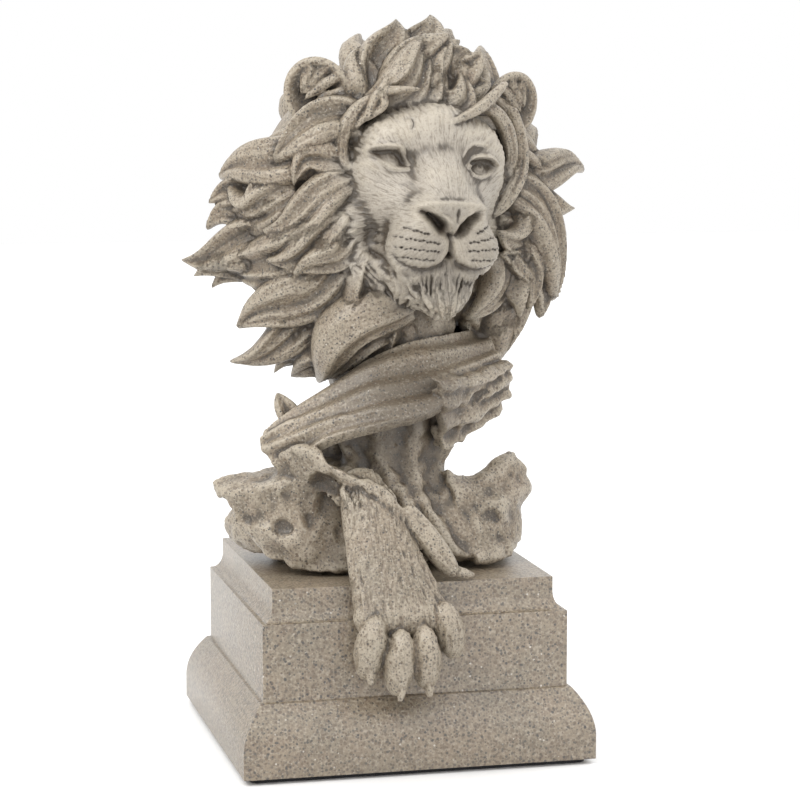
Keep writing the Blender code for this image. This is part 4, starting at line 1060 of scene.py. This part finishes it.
def mark_hollows(mesh):
    """Stores how deep each vertex lies below its surroundings, finely and broadly, for the dust and the
    painted shade that the stone's colour lays there.
    """
    points, normals = vertex_array(mesh) * 1000, vertex_array(mesh, "normal")
    pairs = edge_pairs(mesh)
    lengths = np.linalg.norm(points[pairs[:, 0]] - points[pairs[:, 1]], axis=1)
    total = np.bincount(pairs[:, 0], lengths, len(points)) + np.bincount(pairs[:, 1], lengths, len(points))
    spacing = softened(total / np.bincount(pairs.ravel(), minlength=len(points)), pairs, 3)
    fineness = np.minimum(1.6 * CLAY_VOXEL / spacing, 1.3) ** 2
    # Rounds of averaging, and the depth in mm that counts as full
    for name, rounds, reach, scale in [("crease", 6, 0.16, fineness), ("hollow", 50, 2.6, 1)]:
        below = np.sum((neighbour_means(points, pairs, rounds) - points) * normals, axis=1)
        below = softened(below, pairs, 2) * scale / reach
        store(mesh, name, np.clip(below, -1, 1))


def mark_strands(mesh):
    """Stores how far across its lock each vertex lies, in mm, for hair lines that run along the locks."""
    tree = KDTree(len(STRAND_SAMPLES))
    for index, (point, _) in enumerate(STRAND_SAMPLES):
        tree.insert(point, index)
    tree.balance()
    points = figure_points(mesh)
    lines, share = np.zeros(len(points)), np.zeros(len(points))
    for index, point in enumerate(points):
        _, nearest, gap = tree.find(point)
        lines[index] = STRAND_SAMPLES[nearest][1]
        share[index] = min(max((3.0 - gap) / 1.5, 0), 1)
    store(mesh, "strand", lines)
    store(mesh, "hair", share)


def mark_shelter(mesh):
    """Stores how much of the sky above each vertex the lion itself hides, where the stone's colour is
    darkened as painted shade.
    """
    tree = skin_tree(mesh)
    turn = pi * (3 - sqrt(5))
    rays = []
    for index in range(SKY_RAYS):
        lift = 0.05 + 0.95 * (index + 0.5) / SKY_RAYS
        flat = sqrt(1 - lift * lift)
        rays.append(Vector((flat * cos(index * turn), flat * sin(index * turn), lift)))
    hidden = np.zeros(len(mesh.vertices))
    for vertex in mesh.vertices:
        start = vertex.co + vertex.normal * SHELTER_START
        open_ways = [ray for ray in rays if ray.dot(vertex.normal) > SHELTER_DIP]
        blocked = sum(1 for ray in open_ways if tree.ray_cast(start, ray, SHELTER_REACH)[0])
        hidden[vertex.index] = blocked / max(len(open_ways), 1)
    store(mesh, "shelter", softened(hidden, edge_pairs(mesh), 6))


def mark_face(mesh, skin):
    """Stores where short fur lies and which way it's combed, the dark wash with painted shade in the face's
    lines, and painted shade on the neck under the chin.
    """
    points = figure_points(mesh)
    local = head_points(points)
    across, back, up = local.T
    near = face_share(skin, local, FINISH_REACH)
    share = near * np.clip((10 - back) / 10, 0, 1)
    arm = arm_share(points)
    pairs = edge_pairs(mesh)
    wash = np.zeros(len(points))
    for line, width, strength in WASHES_AND_SHADE:
        wash = np.maximum(wash, strength * np.exp(-(line_distance(across, up, line) / width) ** 4))
    wash = np.maximum(wash, np.clip(pit_depth(local) - 0.3, 0, 1)) * near * (back < -8)
    # Painted shade on the neck, under the chin and the mane
    throat_shade = np.exp(-((points[:, 0] - 1) / 27) ** 4 - ((points[:, 2] - 73) / 17) ** 4)
    throat_shade = throat_shade * (points[:, 1] < -8)
    store(mesh, "short_fur", softened(np.maximum(share, 0.05 * arm), pairs, 4))
    store(mesh, "wash", np.maximum(wash, NECK_SHADE * throat_shade))
    store(mesh, "combed", softened(np.maximum(share, arm), pairs, 4))
    store(mesh, "comb", np.where(share > arm, 20 * np.arctan2(across, up + 22), points[:, 0]))


def carved_figure(sizes, material):
    """The lion in clay, carved, thinned out where it is plain, and cut to sit on the plinth."""
    face = melted_face()
    skin = skin_tree(face, HEAD.inverted())
    bm = bmesh.new()
    bm.from_mesh(face)
    ears(bm)
    mane(bm)
    neck(bm)
    paw(bm)
    mesh = one_piece(fuse(bm, smoothing=1))
    finer_skin(mesh, skin)
    carve_face(mesh, skin, sizes)
    carve_fur(mesh, sizes.fur_depth)
    mesh.transform(Matrix.Translation((0, 0, PLINTH_TOP)) @ Matrix.Scale(FIGURE_SCALE, 4))
    figure = add_object("figure_clay", mesh)
    fewer = figure.modifiers.new("fewer", "DECIMATE")
    faces = sum(len(polygon.vertices) - 2 for polygon in mesh.polygons)
    fewer.ratio = FIGURE_TRIANGLES / faces
    seated = one_piece(without(figure, add_object("plinth_cutter", plinth_mesh(TOUCH_GAP)), "EXACT"))
    seated.shade_smooth()
    mark_hollows(seated)
    mark_shelter(seated)
    mark_strands(seated)
    mark_face(seated, skin)
    return add_object("carved_lion", seated, material)


# Finishes
# Flecks in the order they are laid: kind, size of a cell in metres, share of the cells, radius in cells
FLECKS = [
    ("brown", 0.0019, 0.42, 0.40), ("dark", 0.0015, 0.26, 0.38), ("black", 0.0012, 0.17, 0.42),
    ("white", 0.0013, 0.03, 0.30), ("dark", 0.0009, 0.26, 0.42), ("brown", 0.0010, 0.30, 0.42),
]
PLINTH_FLECK_GROWTH = 1.25
# Cells to a metre of the noise in the finishes
CLOUD_SCALE, PATCH_SCALE, GRAIN_SCALE, RELIEF_SCALE, NAP_SCALE = 38.0, 150.0, 900.0, 1100.0, 2500.0
NAP_BUMP = 0.0004


def link(tree, source, target):
    """Feeds a socket from another one, or sets it to a plain value."""
    if isinstance(source, bpy.types.NodeSocket):
        tree.links.new(source, target)
    else:
        target.default_value = source


def node(tree, kind, **settings):
    """A shader node with its settings. Names in the form input_0 fill its sockets by number."""
    made = tree.nodes.new(kind)
    for name, value in settings.items():
        if name.startswith("input_"):
            made.inputs[int(name[6:])].default_value = value
        else:
            setattr(made, name, value)
    return made


def mix_colours(tree, share, first, second):
    """first with share of second laid over it. Each is a socket or a plain value."""
    mix = node(tree, "ShaderNodeMix", data_type="RGBA")
    link(tree, share, mix.inputs[0])
    link(tree, first, mix.inputs[6])
    link(tree, second, mix.inputs[7])
    return mix.outputs[2]


def ramp(tree, source, low, high, to_low=0.0, to_high=1.0):
    """source stretched from low..high to to_low..to_high and clamped."""
    spread = node(tree, "ShaderNodeMapRange", input_1=low, input_2=high, input_3=to_low, input_4=to_high)
    link(tree, source, spread.inputs[0])
    return spread.outputs[0]


def times(tree, first, second):
    product = node(tree, "ShaderNodeMath", operation="MULTIPLY")
    link(tree, first, product.inputs[0])
    link(tree, second, product.inputs[1])
    return product.outputs[0]


def noise_at(tree, where, scale, detail=2.0):
    """Noise from 0 to 1, with so many cells to a metre."""
    cloud = node(tree, "ShaderNodeTexNoise")
    link(tree, scale, cloud.inputs["Scale"])
    link(tree, detail, cloud.inputs["Detail"])
    link(tree, where, cloud.inputs["Vector"])
    return cloud.outputs["Fac"]


def relief(tree, height, strength, depth, below=None):
    """The normal of a surface raised by height over the normal below."""
    bump = node(tree, "ShaderNodeBump")
    link(tree, strength, bump.inputs["Strength"])
    link(tree, depth, bump.inputs["Distance"])
    link(tree, height, bump.inputs["Height"])
    if below:
        link(tree, below, bump.inputs["Normal"])
    return bump.outputs["Normal"]


def new_finish(name, settings):
    """A material with its node tree and its shader, whose sockets are set by name."""
    material = bpy.data.materials.new(name)
    material.use_nodes = True
    shader = material.node_tree.nodes["Principled BSDF"]
    for socket, value in settings.items():
        shader.inputs[socket].default_value = value
    return material, material.node_tree, shader


def flecks(tree, where, size, share, radius, offset):
    """Grains in the stone: 1 inside about share of the cells of a grid of the given size, 0 outside."""
    shift = node(tree, "ShaderNodeVectorMath", operation="ADD", input_1=offset)
    link(tree, where, shift.inputs[0])
    cells = node(tree, "ShaderNodeTexVoronoi", feature="F1")
    link(tree, 1 / size, cells.inputs["Scale"])
    link(tree, 1.0, cells.inputs["Randomness"])
    link(tree, shift.outputs[0], cells.inputs["Vector"])
    split = node(tree, "ShaderNodeSeparateColor")
    link(tree, cells.outputs["Color"], split.inputs[0])
    chosen = ramp(tree, split.outputs[0], share, share - 0.02)
    inside = ramp(tree, cells.outputs["Distance"], radius, radius * 0.7)
    return times(tree, chosen, inside), split.outputs[1]


def stored(tree, name):
    """A value that the mesh keeps for each vertex."""
    return node(tree, "ShaderNodeAttribute", attribute_name=name).outputs["Fac"]


def hair_lines(tree, where, name, along, across):
    """Fine lines of hair: noise that changes quickly by the stored value and slowly over the lion."""
    slow = node(tree, "ShaderNodeVectorMath", operation="SCALE")
    link(tree, along, slow.inputs["Scale"])
    link(tree, where, slow.inputs[0])
    lines = node(tree, "ShaderNodeTexNoise", noise_dimensions="4D")
    link(tree, 1.0, lines.inputs["Scale"])
    link(tree, 2.5, lines.inputs["Detail"])
    link(tree, slow.outputs[0], lines.inputs["Vector"])
    link(tree, times(tree, stored(tree, name), across), lines.inputs["W"])
    return lines.outputs["Fac"]


def sandstone(name, stone, fleck_share, sizes, carved):
    """Cast sandstone resin: a warm grey body, pale and dark grains, dust and painted shade in its hollows,
    and paler raised edges with a painted highlight.
    """
    material, tree, shader = new_finish(name, {
        "Roughness": 0.42 if carved else 0.32, "Specular IOR Level": 0.5 if carved else 0.8})
    where = node(tree, "ShaderNodeTexCoord").outputs["Object"]
    grain = noise_at(tree, where, GRAIN_SCALE, 3.0)
    colour, normal = tuple(stone.body), None

    def rising(source, low, high, most):
        return ramp(tree, source, low, high, 0.0, most)

    def lay(kind, share, *others):
        """Lays one of the stone's colours over the rest, by the product of the shares."""
        nonlocal colour
        for other in others:
            share = times(tree, share, other)
        colour = mix_colours(tree, share, colour, tuple(getattr(stone, kind)))

    lay("warm", rising(noise_at(tree, where, CLOUD_SCALE, 4.0), 0.35, 0.65, 1.0))
    lay("earth", rising(noise_at(tree, where, PATCH_SCALE, 3.0), 0.5, 0.68, 0.55))
    lay("pale", rising(grain, 0.52, 0.7, 0.8))
    lay("dull", rising(grain, 0.47, 0.3, 0.9))
    if carved:
        keys = ("short_fur", "hollow", "crease", "shelter", "hair", "combed", "wash")
        fur, hollow, crease, shelter, hair, combed, wash = [stored(tree, key) for key in keys]
        lines = hair_lines(tree, where, "strand", 60.0, 0.9)
        fur_lines = hair_lines(tree, where, "comb", 260.0, 1.9)
        clean = ramp(tree, fur, 0.0, 1.0, 1.0, 0.25)
        # Pale grains and white flecks are held back where the lion hides the sky, as part of the painted
        # shade
        open_share = times(tree, clean, ramp(tree, shelter, 0.3, 0.7, 1.0, 0.2))
        lay("face", fur, 0.9)
        # Painted shade: darker in broad hollows and where the lion itself hides the sky
        lay("shade", clean, rising(hollow, 0.0, 0.9, 0.6))
        lay("shade", rising(shelter, 0.35, 0.95, 0.65))
        # Dust in the fine creases, with painted shade in the same creases
        lay("dust_and_shade", ramp(tree, fur, 0.0, 1.0, 1.0, 0.6), rising(crease, 0.08, 0.9, 0.8))
        lay("dust_and_shade", rising(crease, 0.4, 0.9, 0.9))
        # Painted shade in the grooves of the hair lines and the fur lines, where the relief below sinks
        lay("shade", hair, rising(lines, 0.46, 0.3, 0.6))
        lay("shade", combed, rising(fur_lines, 0.49, 0.33, 0.6))
        # Raised edges laid paler: paler stone with a painted highlight
        lay("pale_rim_and_highlight", rising(crease, -0.1, -0.9, 0.45))
        # Dark wash with painted shade in the eyes, nostrils, mouth and whisker pits, and painted shade on the
        # neck under the chin
        lay("dust_and_shade", wash, 0.85)
        lay("dull", clean, rising(grain, 0.47, 0.3, 0.6))
        lay("pale", open_share, rising(grain, 0.54, 0.7, 0.5))
        normal = relief(tree, fur_lines, times(tree, combed, 0.8), sizes.fur_bump)
        normal = relief(tree, lines, times(tree, hair, 0.8), sizes.hair_bump, normal)
    for index, (kind, size, share, radius) in enumerate(FLECKS):
        shift = (0.013 * index, 0.007 * index, 0.003 * index)
        cell = size if carved else PLINTH_FLECK_GROWTH * size
        spots, other = flecks(tree, where, cell, share * fleck_share, radius, shift)
        shares = [spots, ramp(tree, other, 0.0, 1.0, 0.25, 0.85)]
        if carved:
            shares.append(open_share if kind == "white" else clean)
        lay(kind, *shares)
    normal = relief(tree, noise_at(tree, where, RELIEF_SCALE, 3.0), 0.45, sizes.grain_bump, normal)
    link(tree, colour, shader.inputs["Base Color"])
    link(tree, normal, shader.inputs["Normal"])
    return material


def felt(colour):
    """Black felt: a dull nap with a little sheen."""
    material, tree, shader = new_finish("felt", {"Roughness": 0.95, "Sheen Weight": 0.3})
    nap = noise_at(tree, node(tree, "ShaderNodeTexCoord").outputs["Object"], NAP_SCALE)
    lighter = tuple(min(1, channel * 2.2) for channel in colour[:3]) + (1,)
    link(tree, mix_colours(tree, ramp(tree, nap, 0.4, 0.7), colour, lighter), shader.inputs["Base Color"])
    link(tree, relief(tree, nap, 0.5, NAP_BUMP), shader.inputs["Normal"])
    return material


# What a user of the panel can change

def colour_setting(name, description, value):
    return bpy.props.FloatVectorProperty(
        name=name, description=description, subtype="COLOR", size=4, min=0, max=1, default=(*value, 1.0))


def number_setting(name, description, default, **limits):
    return bpy.props.FloatProperty(name=name, description=description, default=default, **limits)


def length_setting(name, description, default, **limits):
    return number_setting(name, description, default, unit="LENGTH", **limits)


class LionStone(bpy.types.PropertyGroup):
    """The colours of the cast stone and the felt"""
    body: colour_setting("Body", "The stone's main colour", (0.184, 0.152, 0.108))
    warm: colour_setting("Warm", "Warmer clouds in the stone", (0.214, 0.168, 0.116))
    pale: colour_setting("Pale", "The pale grains of sand", (0.30, 0.262, 0.208))
    dull: colour_setting("Dull", "The dull grains of sand", (0.132, 0.106, 0.078))
    brown: colour_setting("Brown", "Brown flecks", (0.092, 0.064, 0.042))
    dark: colour_setting("Dark", "Dark grey flecks", (0.040, 0.037, 0.034))
    black: colour_setting("Black", "Black flecks", (0.016, 0.016, 0.020))
    white: colour_setting("White", "White flecks", (0.50, 0.47, 0.42))
    # Painted shade, laid in broad hollows, where the lion hides the sky and in the grooves of the hair lines
    shade: colour_setting("Shade", "The stone in broad hollows", (0.098, 0.076, 0.051))
    # Dust and painted shade in the fine creases, and in the face's lines
    dust_and_shade: colour_setting("Dust", "The stone in fine creases", (0.052, 0.041, 0.030))
    # Paler stone with a painted highlight on the raised edges
    pale_rim_and_highlight: colour_setting("Rim", "The stone on raised edges", (0.44, 0.39, 0.31))
    earth: colour_setting("Earth", "Browner patches in the stone", (0.176, 0.130, 0.089))
    face: colour_setting("Short fur", "The paler stone of the face and the paw", (0.355, 0.321, 0.272))
    pad: colour_setting("Felt", "The felt under the plinth", (0.012, 0.012, 0.014))
    plinth_flecks: number_setting("Plinth flecks", "How many flecks the plinth has", 1.9, min=0, max=3)
    lion_flecks: number_setting("Lion flecks", "How many flecks the lion has", 1.1, min=0, max=3)


class LionSizes(bpy.types.PropertyGroup):
    """The sizes of the fine work, which the frame doesn't give"""
    worn_edge: length_setting(
        "Worn edge", "Radius of the plinth's worn edges", PLINTH_EDGE_ROUND, min=0.0001, max=0.002)
    fur_depth: length_setting(
        "Fur", "Depth of the short fur on the face and the paw", 0.0006, min=0, max=0.002)
    beard_depth: length_setting("Beard", "Depth of the lines in the beard", 0.0022, min=0, max=0.005)
    whisker_depth: length_setting("Whisker pits", "Depth of the whisker pits", 0.0015, min=0, max=0.003)
    hair_bump: length_setting(
        "Hair lines", "Relief of the fine lines along the locks", 0.0009, min=0, max=0.003)
    fur_bump: length_setting("Fur lines", "Relief of the short fur's finest lines", 0.0006, min=0, max=0.002)
    grain_bump: length_setting("Grain", "Relief of the sand grains", 0.0005, min=0, max=0.002)


class LionStage(bpy.types.PropertyGroup):
    """The backdrop, the lights and the camera"""
    view_turn: number_setting(
        "Turn", "How far the camera stands to the left of the front", radians(13.55), subtype="ANGLE")
    view_rise: number_setting("Rise", "How far the camera looks down", radians(7.5), subtype="ANGLE")
    view_distance: length_setting("Distance", "From the camera to the lion", 1.149)
    view_height: length_setting("Height", "The height that the camera looks at", 0.1467)
    view_aside: length_setting("Aside", "How far right of the middle the camera looks", 0.0081)
    focal_length: number_setting("Focal length", "The camera's focal length in mm", 119.25)
    key_power: number_setting("Key", "The main light's power in W", 9.6)
    fill_power: number_setting("Fill", "The fill light's power in W", 1.5)
    backdrop: colour_setting("Backdrop", "The white that surrounds the lion", (1.0, 1.0, 1.0))
    floor: colour_setting("Floor", "The floor under the lion", (0.85, 0.85, 0.85))
    floor_size: length_setting("Floor size", "How wide the floor is", 6.0, min=0.5)
    sky_strength: number_setting("Sky", "How much brighter it is overhead", 0.7)
    ground_strength: number_setting("Ground", "How bright it is underneath", 0.1)


# The pieces


class LION_OT_carve_figure(bpy.types.Operator):
    """Carves the lion and puts it in place of its faceted solid"""
    bl_idname = "lion.carve_figure"
    bl_label = "Carve the lion"

    def execute(self, context):
        stone, sizes = context.scene.lion_stone, context.scene.lion_sizes
        lion = carved_figure(sizes, sandstone("carved sandstone", stone, stone.lion_flecks, sizes, True))
        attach(lion, "root")
        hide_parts("lion_figure")
        return {"FINISHED"}


class LION_OT_cast_plinth(bpy.types.Operator):
    """Casts the stepped plinth and lays felt under it"""
    bl_idname = "lion.cast_plinth"
    bl_label = "Cast the plinth"

    def execute(self, context):
        stone = context.scene.lion_stone
        rough = add_object("plinth_rough", plinth_mesh())
        soften = rough.modifiers.new("worn edges", "BEVEL")
        soften.width = context.scene.lion_sizes.worn_edge
        soften.segments = WORN_SEGMENTS
        soften.limit_method = "ANGLE"
        soften.angle_limit = WORN_ANGLE
        mesh = evaluated_mesh(rough)
        mesh.shade_smooth()
        mesh.set_sharp_from_angle(angle=SHARP_ANGLE)
        finish = sandstone("plinth sandstone", stone, stone.plinth_flecks, context.scene.lion_sizes, False)
        plinth = add_object("cast_plinth", mesh, finish)
        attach(plinth, "root")
        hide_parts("plinth")
        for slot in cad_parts["base_pad"].material_slots:
            slot.material = felt(tuple(stone.pad))
        return {"FINISHED"}


def aim(item, target):
    """Turns a light or the camera, which look along their own -Z, to a point."""
    item.rotation_euler = (target - item.location).to_track_quat("-Z", "Y").to_euler()


def area_light(name, spot, target, power, size, colour):
    light = bpy.data.lights.new(name, "AREA")
    light.energy = power
    light.size = size
    light.color = colour
    item = add_object(name, light)
    item.location = spot
    aim(item, target)


def white_floor(stage):
    """A wide white floor with a slight gloss, under the felt."""
    bm = bmesh.new()
    bmesh.ops.create_grid(bm, x_segments=1, y_segments=1, size=stage.floor_size / 2)
    paint = new_finish("floor paint", {
        "Base Color": tuple(stage.floor), "Roughness": 0.35, "Specular IOR Level": 0.25})[0]
    floor = add_object("floor", mesh_of("floor", bm), paint)
    floor.location.z = -TOUCH_GAP


# Heights between which the world goes from its ground to white, and from white to its sky
GROUND_FADE = (-0.42, -0.31)
SKY_FADE = (0.06, 0.6)


def studio(stage):
    """A world that is white all round at eye level, brighter overhead and dim underneath."""
    world = bpy.data.worlds.new("studio")
    world.use_nodes = True
    tree = world.node_tree
    split = node(tree, "ShaderNodeSeparateXYZ")
    link(tree, node(tree, "ShaderNodeNewGeometry").outputs["Position"], split.inputs[0])
    strength = node(tree, "ShaderNodeMath", operation="ADD")
    link(tree, ramp(tree, split.outputs["Z"], *GROUND_FADE, stage.ground_strength, 1.0), strength.inputs[0])
    link(tree, ramp(tree, split.outputs["Z"], *SKY_FADE, 0.0, stage.sky_strength), strength.inputs[1])
    link(tree, tuple(stage.backdrop), tree.nodes["Background"].inputs["Color"])
    link(tree, strength.outputs[0], tree.nodes["Background"].inputs["Strength"])
    return world


LIGHT_TARGET = (0, 0, 0.16)
# The lights: how far right of the lion's middle, towards the camera and up, then size and colour
LIGHTS = {
    "key": ((-0.75, 0.7, 0.95), 0.5, (1.0, 0.985, 0.96)),
    "fill": ((0.9, 0.8, 0.25), 0.9, (1.0, 0.98, 0.95)),
}


class LION_OT_set_stage(bpy.types.Operator):
    """Sets the backdrop, the lights and the camera"""
    bl_idname = "lion.set_stage"
    bl_label = "Set the stage"

    def execute(self, context):
        stage = context.scene.lion_stage
        turn, rise = -stage.view_turn, stage.view_rise
        right = Vector((cos(turn), sin(turn), 0))
        back = Vector((sin(turn) * cos(rise), -cos(turn) * cos(rise), sin(rise)))
        target = right * stage.view_aside + Vector((0, 0, stage.view_height))
        camera = bpy.data.cameras.new("camera")
        camera.lens = stage.focal_length
        camera.sensor_width = 36
        eye = add_object("camera", camera)
        eye.location = target + back * stage.view_distance
        aim(eye, target)
        context.scene.camera = eye
        middle = Vector(LIGHT_TARGET)
        level = Vector((back.x, back.y, 0)).normalized()
        for name, ((aside, near, up), size, colour) in LIGHTS.items():
            spot = middle + right * aside + level * near + Vector((0, 0, up))
            area_light(name, spot, middle, getattr(stage, name + "_power"), size, colour)
        white_floor(stage)
        context.scene.world = studio(stage)
        context.scene.view_settings.view_transform = "Standard"
        return {"FINISHED"}


class LION_PT_panel(bpy.types.Panel):
    """The lion's pieces, and the sizes and colours they are made with"""
    bl_idname = "LION_PT_panel"
    bl_label = "Lion bust"
    bl_space_type = "VIEW_3D"
    bl_region_type = "UI"
    bl_category = "Lion"

    def draw(self, context):
        for operator in (LION_OT_set_stage, LION_OT_cast_plinth, LION_OT_carve_figure):
            self.layout.operator(operator.bl_idname)
        for group in (context.scene.lion_sizes, context.scene.lion_stone, context.scene.lion_stage):
            box = self.layout.box()
            for name in group.__annotations__:
                box.prop(group, name)


CLASSES = (
    LionSizes, LionStone, LionStage,
    LION_OT_set_stage, LION_OT_cast_plinth, LION_OT_carve_figure, LION_PT_panel)


def register():
    for one in CLASSES:
        bpy.utils.register_class(one)
    bpy.types.Scene.lion_sizes = bpy.props.PointerProperty(type=LionSizes)
    bpy.types.Scene.lion_stone = bpy.props.PointerProperty(type=LionStone)
    bpy.types.Scene.lion_stage = bpy.props.PointerProperty(type=LionStage)


def unregister():
    del bpy.types.Scene.lion_stage
    del bpy.types.Scene.lion_stone
    del bpy.types.Scene.lion_sizes
    for one in reversed(CLASSES):
        bpy.utils.unregister_class(one)


def main():
    register()
    bpy.ops.lion.set_stage()
    bpy.ops.lion.cast_plinth()
    bpy.ops.lion.carve_figure()


if __name__ == "__main__":
    main()
